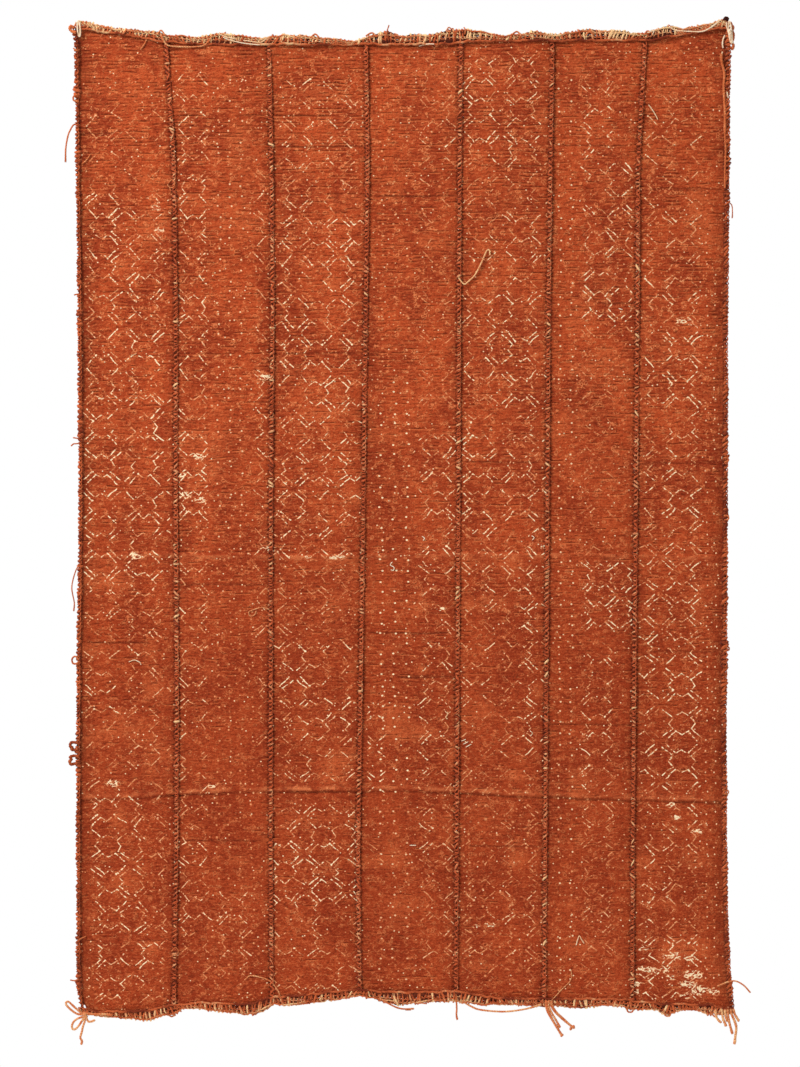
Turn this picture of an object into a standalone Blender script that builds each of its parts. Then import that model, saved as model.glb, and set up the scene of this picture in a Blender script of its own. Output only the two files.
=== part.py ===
"""A hand-woven mud cloth, hanging from its top edge.

Seven long strips lie side by side and are whipped together, so a raised seam runs between each two. All four
edges are overcast with thick yarn. The sewing yarn's ends are left loose: threads, stubs, a bow and two tassels.
Units are metres with +Z up. X runs to the right, the front of the cloth faces -Y, and the origin is the middle
of the top edge. Tables are in millimetres, and "depth" is the distance below the origin.
"""
import math
import random

import bmesh
import bpy
import numpy as np
from mathutils import Vector
from mathutils.bvhtree import BVHTree

MM = 0.001

# Driving sizes, in millimetres
CLOTH_THICK = 2.0
SEAM_HALF_WIDTH = 4.2
SEAM_THICK = 4.6
SIDE_ROLL_WIDTH = 7.2
ROLL_THICK = 6.0
LOOSE_YARN = 2.7
THIN_YARN = 1.8
GAP = 0.4

# The lines between the strips: where each one lies across the cloth, at nine depths
LINE_COLUMNS = ("depth", "left", "seam_1", "seam_2", "seam_3", "seam_4", "seam_5", "seam_6", "right")
LINE_ROWS = (
    (15, -531, -388, -219, -60, 96, 246, 398, 530),
    (204, -529, -375, -215, -57, 94, 243, 387, 529),
    (433, -526, -372, -213, -60, 93, 240, 386, 527),
    (761, -524, -372, -216, -64, 92, 238, 383, 526),
    (1090, -528, -370, -216, -69, 90, 236, 380, 524),
    (1336, -528, -371, -216, -73, 89, 234, 378, 525),
    (1516, -528, -374, -215, -71, 88, 233, 377, 529),
    (1582, -526, -375, -214, -70, 88, 232, 377, 536),
    (1602, -519, -375, -214, -70, 88, 232, 377, 538),
)

# Lines that run across the whole cloth, each as pairs of (x, depth)
TOP_LINE = (
    (-536, -14), (-521, -14), (-480, -8), (-431, -3), (-382, 7), (-332, 12), (-234, 13), (86, 12), (104, 7),
    (390, 5), (455, -5), (505, -13), (537, -15),
)
UPPER_FOLD = ((-540, 852), (540, 855))
LOWER_FOLD = ((-447, 1252), (-119, 1237), (160, 1242), (464, 1255))
BOTTOM_LINE = (
    (-527, 1595), (-516, 1603), (-468, 1604), (-406, 1600), (-380, 1593), (-334, 1588), (-250, 1593),
    (-216, 1579), (-170, 1575), (-70, 1567), (-4, 1574), (88, 1569), (158, 1582), (372, 1583), (414, 1591),
    (480, 1590), (526, 1600), (538, 1598),
)

# The outer outline of the overcast rolls along the top and the bottom, as pairs of (x, depth)
TOP_OUTLINE = (
    (-540, -22), (-531, -28), (-505, -21), (-472, -15), (-439, -13), (-403, -10), (-380, -2), (-324, -2),
    (-304, -8), (-267, -3), (-234, 2), (-217, -4), (-167, -4), (-140, 0), (-109, 2), (-80, 8), (-57, -2),
    (-27, -11), (-4, -2), (12, -5), (42, -3), (57, -7), (76, -12), (104, -13), (132, -8), (162, -2), (183, -3),
    (219, -10), (240, -4), (283, -10), (301, -13), (340, -11), (367, -9), (396, -5), (408, -11), (444, -21),
    (454, -13), (480, -18), (503, -23), (524, -30), (538, -22),
)
BOTTOM_OUTLINE = (
    (-532, 1598), (-516, 1607), (-485, 1611), (-449, 1615), (-414, 1618), (-395, 1610), (-373, 1608),
    (-365, 1598), (-342, 1597), (-317, 1602), (-268, 1606), (-245, 1609), (-227, 1602), (-212, 1592),
    (-181, 1593), (-140, 1588), (-112, 1584), (-70, 1576), (-39, 1585), (-11, 1593), (39, 1588), (78, 1586),
    (130, 1592), (260, 1595), (301, 1598), (324, 1594), (360, 1594), (373, 1600), (414, 1599), (434, 1609),
    (452, 1603), (480, 1600), (505, 1611), (510, 1605), (534, 1608), (546, 1603),
)

# Soft wrinkles: a straight ridge from one point to another; a negative height is a furrow
WRINKLE_COLUMNS = ("x_start", "depth_start", "x_end", "depth_end", "height", "half_width")
WRINKLE_ROWS = (
    (403, 34, 490, 22, 2.4, 7),
    (524, -24, 470, 40, 2.6, 10),
    (527, -20, 528, 30, -2.6, 5),
    (-525, -20, -523, 16, -2.4, 5),
    (-520, -12, -470, 42, 2.2, 10),
    (404, 62, 470, 70, 1.6, 7),
)

# Lumps of the side rolls: extra width at one depth
LEFT_LUMPS = ((-8, 3.5), (245, 2.0), (325, 2.0), (456, 2.2), (1024, 2.4), (1165, 2.4), (1188, 2.0), (1549, 3.0))
RIGHT_LUMPS = ((18, 3.0), (58, 2.0), (200, 2.4), (276, 2.6), (694, 1.8), (789, 2.0), (1004, 2.2), (1239, 2.2))

# Columns of points across one strip, and rows down it: a share of the way between two lines, then a shift
ACROSS = (0.0, 0.05, 0.25, 0.5, 0.75, 0.95, 1.0)
ROW_COLUMNS = ("upper_line", "lower_line", "share", "shift")
ROWS = (
    [("top", "fold_1", share, 0) for share in (0, 0.012, 0.027, 0.045, 0.07, 0.11, 0.18, 0.28, 0.4, 0.54, 0.68, 0.84)]
    + [("fold_1", "fold_1", 0, shift) for shift in (-15, -7, 0, 10)]
    + [("fold_1", "fold_2", share, 0) for share in (0.15, 0.38, 0.62, 0.84)]
    + [("fold_2", "fold_2", 0, shift) for shift in (-10, 0, 7, 16)]
    + [("fold_2", "bottom", share, 0) for share in (0.22, 0.42, 0.62, 0.8, 0.93, 1)]
)


def along(line, x):
    """Depth of a crosswise line at x."""
    return float(np.interp(x, [point[0] for point in line], [point[1] for point in line]))


def line_x(name, depth):
    """Where a lengthwise line lies across the cloth at one depth."""
    column = LINE_COLUMNS.index(name)
    return float(np.interp(depth, [row[0] for row in LINE_ROWS], [row[column] for row in LINE_ROWS]))


def ridge_share(x, depth, wrinkle):
    """One at the crest of a wrinkle and none away from it."""
    run = (wrinkle["x_end"] - wrinkle["x_start"], wrinkle["depth_end"] - wrinkle["depth_start"])
    length = math.hypot(*run)
    right, down = x - wrinkle["x_start"], depth - wrinkle["depth_start"]
    share = (right * run[0] + down * run[1]) / length ** 2
    aside = abs(right * run[1] - down * run[0]) / length
    beyond = max(-share, share - 1.0, 0.0) * length
    return math.exp(-(math.hypot(aside, beyond) / wrinkle["half_width"]) ** 2)


def relief(x, depth):
    """How far the middle of the cloth stands forward of a flat plane, in millimetres."""
    waves = 2.4 * math.sin(x / 150 + 0.8 * math.sin(depth / 400)) * math.sin(depth / 290 + 0.5)
    waves += 1.5 * math.sin(depth / 175 + x / 240 + 1.1) + 1.2 * math.sin(x / 66 - depth / 520)
    upper = depth - along(UPPER_FOLD, x)
    lower = depth - along(LOWER_FOLD, x)
    creases = 2.2 * math.exp(-(upper / 6) ** 2) - 1.4 * math.exp(-((upper + 8) / 5) ** 2)
    creases += 2.0 * math.exp(-(lower / 6) ** 2) - 1.6 * math.exp(-((lower - 7) / 5) ** 2)
    named = [dict(zip(WRINKLE_COLUMNS, row)) for row in WRINKLE_ROWS]
    wrinkles = sum(wrinkle["height"] * ridge_share(x, depth, wrinkle) for wrinkle in named)
    lip = 2.6 * math.exp(-((x - line_x("right", depth) + 3) / 6) ** 2) / (1 + math.exp((depth - 240) / 25))
    return waves + creases + wrinkles + lip


def row_depth(row, x):
    """Depth of one row of points at x."""
    lines = {"top": TOP_LINE, "fold_1": UPPER_FOLD, "fold_2": LOWER_FOLD, "bottom": BOTTOM_LINE}
    named = dict(zip(ROW_COLUMNS, row))
    upper = along(lines[named["upper_line"]], x)
    lower = along(lines[named["lower_line"]], x)
    return upper + named["share"] * (lower - upper) + named["shift"]


def strip_sides(number):
    """Names of the lines on either side of a strip, and how far the cloth stops short of each."""
    names = LINE_COLUMNS[number + 1:number + 3]
    margins = [0.0 if name in ("left", "right") else SEAM_HALF_WIDTH + GAP for name in names]
    return names, margins


def strip_point(number, share, row):
    """One point of a strip as (x, depth, forward)."""
    names, margins = strip_sides(number)
    middle = LINE_ROWS[3]
    nominal = [middle[LINE_COLUMNS.index(name)] for name in names]
    depth = row_depth(row, nominal[0] + share * (nominal[1] - nominal[0]))
    left = line_x(names[0], depth) + margins[0]
    right = line_x(names[1], depth) - margins[1]
    x = left + share * (right - left)
    pillow = 1.3 * math.sin(math.pi * share) * math.sin(depth / 140 + 1.7 * number)
    pucker = 0.7 * math.cos(depth / 24 + 2.3 * number) * (2 * abs(share - 0.5)) ** 6
    return x, depth, relief(x, depth) + pillow + pucker


def place(x, depth, forward=0.0):
    """A point of the tables as a position in metres."""
    return Vector((x * MM, -forward * MM, -depth * MM))


def cloth_material(name, red, green, blue, roughness):
    """A matt yarn or cloth colour, given as the 0 to 255 values of a screen."""
    values = [((channel / 255 + 0.055) / 1.055) ** 2.4 for channel in (red, green, blue)]
    material = bpy.data.materials.new(name)
    material.use_nodes = True
    shader = material.node_tree.nodes["Principled BSDF"]
    shader.inputs["Base Color"].default_value = (*values, 1.0)
    shader.inputs["Roughness"].default_value = roughness
    shader.inputs["Metallic"].default_value = 0.0
    material.diffuse_color = (*values, 1.0)
    return material


def new_object(name, bm, colour, smooth=True):
    """Turn a finished bmesh into a named object with its own material."""
    bmesh.ops.recalc_face_normals(bm, faces=bm.faces)
    mesh = bpy.data.meshes.new(name)
    bm.to_mesh(mesh)
    bm.free()
    for polygon in mesh.polygons:
        polygon.use_smooth = smooth
    made = bpy.data.objects.new(name, mesh)
    bpy.context.collection.objects.link(made)
    made.data.materials.append(cloth_material(name, *colour))
    return made


def loft(name, rings, colour):
    """Join rings of points into one closed body with a cap at each end."""
    bm = bmesh.new()
    rows = [[bm.verts.new(point) for point in ring] for ring in rings]
    for first, second in zip(rows, rows[1:]):
        for side in range(len(first)):
            beside = (side + 1) % len(first)
            bm.faces.new((first[side], first[beside], second[beside], second[side]))
    bm.faces.new(rows[0])
    bm.faces.new(rows[-1])
    return new_object(name, bm, colour)


def woven_strip(number):
    """One strip of the cloth: a thin sheet with the creases, wrinkles and waves of the hanging cloth."""
    bm = bmesh.new()
    grid = [[bm.verts.new(place(*strip_point(number, share, row))) for share in ACROSS] for row in ROWS]
    for upper, lower in zip(grid, grid[1:]):
        for side in range(len(ACROSS) - 1):
            bm.faces.new((upper[side], lower[side], lower[side + 1], upper[side + 1]))
    made = new_object(f"strip_{number + 1}", bm, STRIP_COLOURS[number])
    sheet = made.modifiers.new("thickness", "SOLIDIFY")
    sheet.thickness = CLOTH_THICK * MM
    sheet.offset = 0.0
    sheet.use_even_offset = True
    return made


def rim_points(row):
    """The first or last row of every strip, as (x, depth) from left to right."""
    return [strip_point(number, share, row)[:2] for number in range(7) for share in ACROSS]


def lumpy_seam(name, seed):
    """The raised seam between two strips: a flattened cord with uneven stitches."""
    chance = random.Random(seed)
    nominal = LINE_ROWS[3][LINE_COLUMNS.index(name)]
    top = row_depth(ROWS[0], nominal) + 0.2
    bottom = row_depth(ROWS[-1], nominal) - 0.2
    folds = [row_depth(row, nominal) for row in ROWS if row[0] == row[1]]
    depths = [depth for depth in np.linspace(top, bottom, 38) if min(abs(depth - fold) for fold in folds) > 12]
    rings = []
    for depth in sorted(depths + folds):
        x = line_x(name, depth)
        half = SEAM_HALF_WIDTH * chance.uniform(0.78, 1.0)
        thick = 0.5 * SEAM_THICK * chance.uniform(0.85, 1.2)
        ahead = relief(x, depth) + chance.uniform(-0.2, 0.5)
        shape = ((-half, 0.0), (-0.55 * half, thick), (0.55 * half, thick), (half, 0.0), (0.0, -thick))
        rings.append([place(x + aside, depth, ahead + lift) for aside, lift in shape])
    return loft(name, rings, SEAM_COLOUR)


def end_roll(name, row, outline, seed):
    """The overcast roll along the top or the bottom edge, from the cloth's rim out to the outline."""
    chance = random.Random(seed)
    outward = -1.0 if row is ROWS[0] else 1.0
    rim = rim_points(row)
    reach = SIDE_ROLL_WIDTH + GAP
    ends = [rim[0][0] - reach, rim[-1][0] + reach]
    middles = [point[0] for point in outline if ends[0] + 6 < point[0] < ends[1] - 6]
    places = sorted(ends + [point[0] for point in rim] + middles)
    spaced = [x for x, following in zip(places, places[1:] + [ends[1] + 99]) if following - x > 1.5]
    rings = []
    for x in spaced:
        base = float(np.interp(x, [point[0] for point in rim], [point[1] for point in rim])) + outward * GAP
        height = max(outward * (along(outline, x) - base), 3.0)
        thick = 0.5 * ROLL_THICK * chance.uniform(0.8, 1.05) * min(1.0, 0.4 + height / 14)
        ahead = relief(x, base)
        shape = ((-0.75 * thick, 0.0), (-thick, 0.5 * height), (0.1 * thick, height), (thick, 0.45 * height),
                 (0.8 * thick, 0.0))
        rings.append([place(x, base + outward * rise, ahead + lift) for lift, rise in shape])
    return loft(name, rings, EDGE_COLOUR)


def side_roll_width(depth, lumps, ripple):
    """How wide a side roll is at one depth."""
    return SIDE_ROLL_WIDTH + ripple + sum(size * math.exp(-((depth - at) / 9) ** 2) for at, size in lumps)


def side_roll(name, side, lumps, seed):
    """The overcast roll down the left or the right edge, with a lump where a stitch stands out."""
    chance = random.Random(seed)
    outward = -1.0 if side == "left" else 1.0
    number, share = (0, 0.0) if side == "left" else (6, 1.0)
    edge = [strip_point(number, share, row) for row in ROWS]
    top = edge[0][1] + 0.3
    bottom = edge[-1][1] - 0.3
    inner = [point[1] for point in edge[1:-1]]
    lump_depths = [at + step for at, _ in lumps for step in (-9, 0, 9) if at > top + 10]
    between = list(np.linspace(top, bottom, 52)[1:-1])
    depths = sorted([top, bottom] + inner + lump_depths + between)
    spaced = [depth for depth, following in zip(depths, depths[1:] + [bottom + 99]) if following - depth > 2.5]
    rings = []
    for depth in spaced:
        base = float(np.interp(depth, [point[1] for point in edge], [point[0] for point in edge]))
        ahead = float(np.interp(depth, [point[1] for point in edge], [point[2] for point in edge]))
        width = side_roll_width(depth, lumps, chance.uniform(-1.3, 0.5))
        thick = 0.5 * ROLL_THICK * chance.uniform(0.75, 1.0)
        start = base + outward * GAP
        shape = ((0.0, 0.8 * thick), (0.55 * width, thick), (width, 0.1 * thick), (0.5 * width, -thick),
                 (0.0, -0.75 * thick))
        rings.append([place(start + outward * out, depth, ahead + lift) for out, lift in shape])
    return loft(name, rings, EDGE_COLOUR)


def cloth_surfaces():
    """Search trees of the strips, seams and rolls as built, so that the loose yarns can be seated on them."""
    depsgraph = bpy.context.evaluated_depsgraph_get()
    return [BVHTree.FromObject(made, depsgraph) for made in bpy.data.objects]


def front_at(trees, x, depth, reach):
    """How far forward the cloth stands within reach of a point, or None in the open air."""
    found = []
    for aside in (-reach, 0.0, reach):
        for down in (-reach, 0.0, reach):
            hits = [tree.ray_cast(place(x + aside, depth + down, 60), Vector((0.0, 1.0, 0.0)))[0] for tree in trees]
            found += [-hit.y / MM for hit in hits if hit]
    return max(found) if found else None


def lay_on(trees, route, width, spacing=8.0):
    """Points of a yarn that lies on the front of the cloth; off its edge it keeps the height it had there."""
    fine = [route[0]]
    for start, end in zip(route, route[1:]):
        steps = max(1, round(math.dist(start, end) / spacing))
        fine += [(start[0] + (end[0] - start[0]) * step / steps, start[1] + (end[1] - start[1]) * step / steps)
                 for step in range(1, steps + 1)]
    fronts = [front_at(trees, x, depth, 0.55 * width) for x, depth in fine]
    known = [index for index, front in enumerate(fronts) if front is not None]
    filled = [fronts[min(known, key=lambda other: abs(other - index))] for index in range(len(fine))]
    eased = [max(filled[max(index - 1, 0):index + 2]) for index in range(len(fine))]
    return [place(x, depth, front + GAP + 0.5 * width) for (x, depth), front in zip(fine, eased)]


def seat(trees, x, depth, length, height, thick):
    """Centre of a small block that rests against the front of the cloth."""
    places = [(x + across * length, depth + down * height) for across in (-0.5, -0.25, 0, 0.25, 0.5)
              for down in (-0.5, 0, 0.5)]
    fronts = [front_at(trees, *spot, 0.8) for spot in places]
    return place(x, depth, max(front for front in fronts if front is not None) + GAP + 0.5 * thick)


def yarn(name, points, width, colour=None, closed=False):
    """A round yarn through a few points, with rounded bends."""
    curve = bpy.data.curves.new(name, "CURVE")
    curve.dimensions = "3D"
    curve.bevel_depth = 0.5 * width * MM
    curve.bevel_resolution = 0
    curve.resolution_u = 2
    curve.use_fill_caps = not closed
    spline = curve.splines.new("BEZIER")
    spline.bezier_points.add(len(points) - 1)
    spline.use_cyclic_u = closed
    for knot, point in zip(spline.bezier_points, points):
        knot.co = point
        knot.handle_left_type = "AUTO"
        knot.handle_right_type = "AUTO"
    made = bpy.data.objects.new(name, curve)
    bpy.context.collection.objects.link(made)
    curve.materials.append(cloth_material(name, *(colour or YARN_COLOUR)))
    return made


def free_yarn(trees, name, side, start, route, width):
    """A yarn that leaves a side roll straight outwards and then follows its route of (out, depth)."""
    outward = -1.0 if side == "left" else 1.0
    forward = relief(line_x(side, start), start)
    found = []
    for down in np.linspace(-0.8 * width, 0.8 * width, 9):
        for ahead in np.linspace(-0.8 * width, 0.8 * width, 15):
            origin = place(outward * 700, start + down, forward + ahead)
            hits = [tree.ray_cast(origin, Vector((-outward, 0.0, 0.0)))[0] for tree in trees]
            found += [outward * hit.x / MM for hit in hits if hit]
    root = outward * (max(found) + GAP)
    points = [place(root + outward * out, depth, forward) for out, depth in ((0, start), (1.2, start), *route)]
    return yarn(name, points, width)


def block(bm, centre, size, cells):
    """A small box whose faces are divided into cells along X and Z."""
    made = bmesh.ops.create_cube(bm, size=1.0)
    for vert in made["verts"]:
        vert.co = centre + Vector([share * length * MM for share, length in zip(vert.co, size)])
    for axis, count in zip((0, 2), cells):
        edges = [edge for edge in bm.edges
                 if abs(edge.verts[0].co[axis] - edge.verts[1].co[axis]) > 0.9 * size[axis] * MM]
        if count > 1:
            bmesh.ops.subdivide_edges(bm, edges=edges, cuts=count - 1, use_grid_fill=True)


def grow_strand(bm, root, route, width, knob=1.0):
    """Grow a four-sided yarn out of the face nearest to a root point, ring by ring along its route."""
    face = min(bm.faces, key=lambda item: (item.calc_center_median() - root).length)
    start = face.calc_center_median()
    heading = face.normal.copy()
    side = (face.verts[0].co - start).normalized()
    other = heading.cross(side).normalized()
    turns = [quarter * math.pi / 2 for quarter in range(4)]
    points = [Vector(point) for point in route]
    for step, point in enumerate(points):
        before = points[step - 1] if step else start
        after = points[step + 1] if step + 1 < len(points) else point
        direction = (after - before).normalized()
        bend = heading.rotation_difference(direction)
        side.rotate(bend)
        other.rotate(bend)
        heading = direction
        face = bmesh.ops.extrude_discrete_faces(bm, faces=[face])["faces"][0]
        radius = 0.7 * width * MM * (knob if step >= len(points) - 2 else 1.0)
        for vert, turn in zip(face.verts, turns):
            vert.co = point + radius * (math.cos(turn) * side + math.sin(turn) * other)


def bow(trees):
    """The sewing yarn tied off at the lower left corner: a knot, two loops, a long and a short end."""
    centre = seat(trees, -520.5, 1606, 9.0, 9.0, 4.5)
    bm = bmesh.new()
    block(bm, centre, (9.0, 4.5, 9.0), (3, 4))

    def route(*pairs):
        return [centre + Vector(((x + 520.5) * MM, 0.0, (1606 - depth) * MM)) for x, depth in pairs]

    grow_strand(bm, route((-525, 1602.6))[0], route(
        (-528, 1601.5), (-535, 1595.5), (-542, 1589), (-547.5, 1584), (-551.5, 1585), (-551, 1589.5),
        (-545, 1596), (-538, 1601.5), (-531, 1604.6), (-526.2, 1605)), 2.2)
    grow_strand(bm, route((-525, 1609.4))[0], route(
        (-528, 1610), (-534, 1612.5), (-539.5, 1617.5), (-542, 1623.5), (-541, 1628.5), (-537.5, 1629.5),
        (-533.5, 1626.5), (-529, 1621), (-525.8, 1615.8), (-524.2, 1612.4)), 2.2)
    grow_strand(bm, route((-520.5, 1610.5))[0], route(
        (-520.6, 1613), (-521.3, 1617), (-524, 1625), (-525.6, 1633), (-528.2, 1643), (-525.5, 1648.5),
        (-526.8, 1654.5)), 2.3)
    grow_strand(bm, route((-517.5, 1610.5))[0], route(
        (-517.2, 1613), (-515, 1616.5), (-510, 1616.5), (-504, 1614)), 2.2)
    return new_object("bow", bm, YARN_COLOUR)


def tassel(trees, name, head, strands):
    """A narrow head in front of the bottom roll with loose yarns hanging from it."""
    x, depth, length, height, cells = head
    centre = seat(trees, x, depth, length, height, 4.0)
    bm = bmesh.new()
    block(bm, centre, (length, 4.0, height), (cells, 1))
    for root_x, knob, route in strands:
        points = [centre + Vector(((px - x) * MM, 0.0, (depth - pd) * MM)) for px, pd in route]
        root = centre + Vector(((root_x - x) * MM, 0.0, -0.5 * height * MM))
        grow_strand(bm, root, points, LOOSE_YARN, knob)
    return new_object(name, bm, YARN_COLOUR)


def corner_loop(trees, name, x, depth, half_length, lean):
    """A small loop of pale yarn sewn to an upper corner."""
    route = []
    for step in range(8):
        turn = 2 * math.pi * step / 8
        up = half_length * math.cos(turn)
        route.append((x + 2.3 * math.sin(turn) - lean * up, depth - up))
    points = lay_on(trees, route, LOOSE_YARN, spacing=99.0)
    return yarn(name, points, LOOSE_YARN, PALE_COLOUR, closed=True)


# Colours as 0 to 255 screen values with a roughness
STRIP_COLOURS = (
    (172, 78, 45, 0.92), (168, 74, 42, 0.92), (176, 80, 46, 0.92), (173, 77, 43, 0.92),
    (177, 81, 47, 0.92), (175, 79, 45, 0.92), (168, 75, 43, 0.92),
)
SEAM_COLOUR = (128, 50, 26, 0.95)
EDGE_COLOUR = (190, 104, 62, 0.95)
YARN_COLOUR = (196, 106, 58, 0.9)
PALE_COLOUR = (242, 212, 172, 0.9)

# Yarns that leave a side roll: name, side, depth of the root, route of (out, depth), width
FREE_YARNS = (
    ("left_thread_upper", "left", 146, ((3, 146), (8, 154), (12, 164), (15.5, 184), (16, 207)), LOOSE_YARN),
    ("left_stub_upper", "left", 424, ((2, 424), (5.5, 425)), LOOSE_YARN),
    ("left_stub_middle", "left", 660, ((3, 660), (8, 659)), LOOSE_YARN),
    ("left_stub_lower", "left", 669, ((3, 669), (8, 669.5), (11.5, 673)), LOOSE_YARN),
    ("left_thread_lower", "left", 876, ((3, 876), (10, 904), (6, 930), (7, 944)), LOOSE_YARN),
    ("right_thread", "right", 276, ((2.5, 276), (3.5, 290), (3, 299)), THIN_YARN),
)

# Yarns that lie on the front of the edges: name, width, colour, route of (x, depth)
LAID_YARNS = (
    ("top_cord", LOOSE_YARN, YARN_COLOUR,
     ((-396, -3), (-391, 9), (-384, 16), (-363, 18), (-340, 18), (-327, 16), (-317, 8), (-311, -2))),
    ("top_pale_yarn", LOOSE_YARN, PALE_COLOUR,
     ((439, -14), (448, -9), (470, -7), (491, -7), (505, -13), (520, -24))),
    ("bottom_cord", LOOSE_YARN, YARN_COLOUR,
     ((99, 1584), (112, 1592), (128, 1598), (166, 1601), (200, 1597), (226, 1590))),
    ("bottom_stub", 3.2, YARN_COLOUR, ((-36, 1579), (-18, 1590), (-2, 1596), (19, 1596))),
    ("seam_4_end", 3.4, YARN_COLOUR, ((88, 1578), (89, 1596), (88.5, 1606), (90, 1614))),
    ("right_whisker", THIN_YARN, YARN_COLOUR, ((519, 1558), (534, 1552), (547, 1551), (560, 1558), (571, 1570))),
    ("seam_4_yarn", LOOSE_YARN, YARN_COLOUR,
     ((93, 399), (101, 407), (108, 403), (119, 392), (129, 373), (138, 353), (143, 353), (142.5, 360))),
)


def build_cloth():
    """Strips, seams and overcast rolls."""
    for number in range(7):
        woven_strip(number)
    for seed, name in enumerate(LINE_COLUMNS[2:8]):
        lumpy_seam(name, 20 + seed)
    end_roll("top_roll", ROWS[0], TOP_OUTLINE, 31)
    end_roll("bottom_roll", ROWS[-1], BOTTOM_OUTLINE, 32)
    side_roll("left_roll", "left", LEFT_LUMPS, 33)
    side_roll("right_roll", "right", RIGHT_LUMPS, 34)


def build_loose_yarns(trees):
    """Ends and threads of the sewing yarn that stand off the edges."""
    for name, side, start, route, width in FREE_YARNS:
        free_yarn(trees, name, side, start, route, width)
    for name, width, colour, route in LAID_YARNS:
        yarn(name, lay_on(trees, route, width), width, colour)


def build_ties(trees):
    """The bow, the two tassels and the loops at the upper corners."""
    bow(trees)
    tassel(trees, "seam_5_tassel", (239.6, 1586, 12.6, 6.0, 3), (
        (235.4, 1.25, ((235.5, 1592), (239.2, 1603), (247.4, 1617), (255, 1629.5), (259.5, 1636.5), (261, 1639.5))),
        (239.6, 1.0, ((240, 1592), (244.8, 1603), (251.4, 1614), (258.5, 1627))),
        (243.8, 1.5, ((244.5, 1592), (250.4, 1601), (260.5, 1611), (271.6, 1620), (277, 1624.5), (280, 1627))),
    ))
    tassel(trees, "corner_tassel", (529, 1600, 35.0, 5.0, 7), (
        (544, 1.3, ((545, 1605), (547.5, 1609), (550, 1613.5), (551, 1616))),
        (539, 1.1, ((540.3, 1606), (545, 1617), (547.5, 1627), (546, 1641), (545, 1650), (544.5, 1654))),
        (534, 1.0, ((534, 1606), (535.5, 1616), (538.5, 1628), (541.2, 1637))),
        (524, 1.2, ((524.5, 1605), (526, 1613), (529, 1620), (530.5, 1624))),
        (514, 1.0, ((514, 1605), (515, 1610), (518.5, 1615), (522.5, 1618.5))),
    ))
    corner_loop(trees, "corner_loop_left", -531, -12, 13, 0.07)
    corner_loop(trees, "corner_loop_right", 537.5, -6, 18, 0.1)


for old in list(bpy.data.objects):
    bpy.data.objects.remove(old)
build_cloth()
surfaces = cloth_surfaces()
build_loose_yarns(surfaces)
build_ties(surfaces)
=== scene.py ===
# %% [markdown]
# # Dressing a hand-woven mud cloth
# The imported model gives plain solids: seven cloth strips, the seams between them, four overcast edges and
# the loose ends of the sewing yarn. Each of them is rebuilt here as what it really is, in metres and in
# the same place. The frame is loaded first, because every size below is read from it.

# %% Load the frame
import math

import bpy
import numpy as np
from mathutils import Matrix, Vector
from mathutils.bvhtree import BVHTree


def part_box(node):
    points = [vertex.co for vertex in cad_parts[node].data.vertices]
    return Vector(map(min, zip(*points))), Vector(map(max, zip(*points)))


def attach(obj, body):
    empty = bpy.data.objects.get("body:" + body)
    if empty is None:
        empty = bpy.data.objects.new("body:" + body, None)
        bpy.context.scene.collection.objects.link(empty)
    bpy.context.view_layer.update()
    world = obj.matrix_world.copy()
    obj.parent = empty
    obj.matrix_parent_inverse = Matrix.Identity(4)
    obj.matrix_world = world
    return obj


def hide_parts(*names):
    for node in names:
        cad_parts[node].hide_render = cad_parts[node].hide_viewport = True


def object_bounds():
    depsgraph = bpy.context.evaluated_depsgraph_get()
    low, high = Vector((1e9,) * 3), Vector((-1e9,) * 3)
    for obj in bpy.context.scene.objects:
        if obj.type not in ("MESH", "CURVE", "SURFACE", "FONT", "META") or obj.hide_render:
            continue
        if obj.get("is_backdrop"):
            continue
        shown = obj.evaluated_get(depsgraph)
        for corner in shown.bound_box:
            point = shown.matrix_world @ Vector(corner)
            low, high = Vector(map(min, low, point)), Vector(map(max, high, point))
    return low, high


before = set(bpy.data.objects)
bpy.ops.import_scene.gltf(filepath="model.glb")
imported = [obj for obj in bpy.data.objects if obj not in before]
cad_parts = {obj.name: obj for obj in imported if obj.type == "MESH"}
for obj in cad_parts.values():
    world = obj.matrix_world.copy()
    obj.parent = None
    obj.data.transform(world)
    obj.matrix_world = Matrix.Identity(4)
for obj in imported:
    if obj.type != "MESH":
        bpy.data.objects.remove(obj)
cad_low, cad_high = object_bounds()
print("nodes:", len(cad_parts), "size:", [round(high - low, 3) for low, high in zip(cad_low, cad_high)])

# %% [markdown]
# ## The camera
# The cloth was seen straight on and its sides run parallel, so the lens is long and the camera is level.
# Its distance and its lens are tied together: the picture is as wide and as high, at the cloth, as these
# two sizes.

# %% Camera
MM = 0.001
PICTURE_HIGH = 1.751
PICTURE_MIDDLE = (-0.0041, -0.8164)
CAMERA_AWAY = 8.0
SENSOR_MM = 36.0


def make_camera():
    """A level camera in front of the cloth, with a long lens."""
    data = bpy.data.cameras.new("camera")
    data.sensor_width = SENSOR_MM
    data.lens = SENSOR_MM * CAMERA_AWAY / PICTURE_HIGH
    made = bpy.data.objects.new("camera", data)
    made.location = (PICTURE_MIDDLE[0], -CAMERA_AWAY, PICTURE_MIDDLE[1])
    made.rotation_euler = (math.radians(90), 0, 0)
    bpy.context.scene.collection.objects.link(made)
    return made


bpy.context.scene.camera = make_camera()
print("lens in mm:", round(bpy.context.scene.camera.data.lens, 1))

# %% [markdown]
# ## Measuring the solids
# A plane that cuts a solid crosses some of its edges. The crossing points say where the solid begins and
# ends there, so one small helper measures widths, heights and depths at any place, and no number is
# copied from the model.

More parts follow.
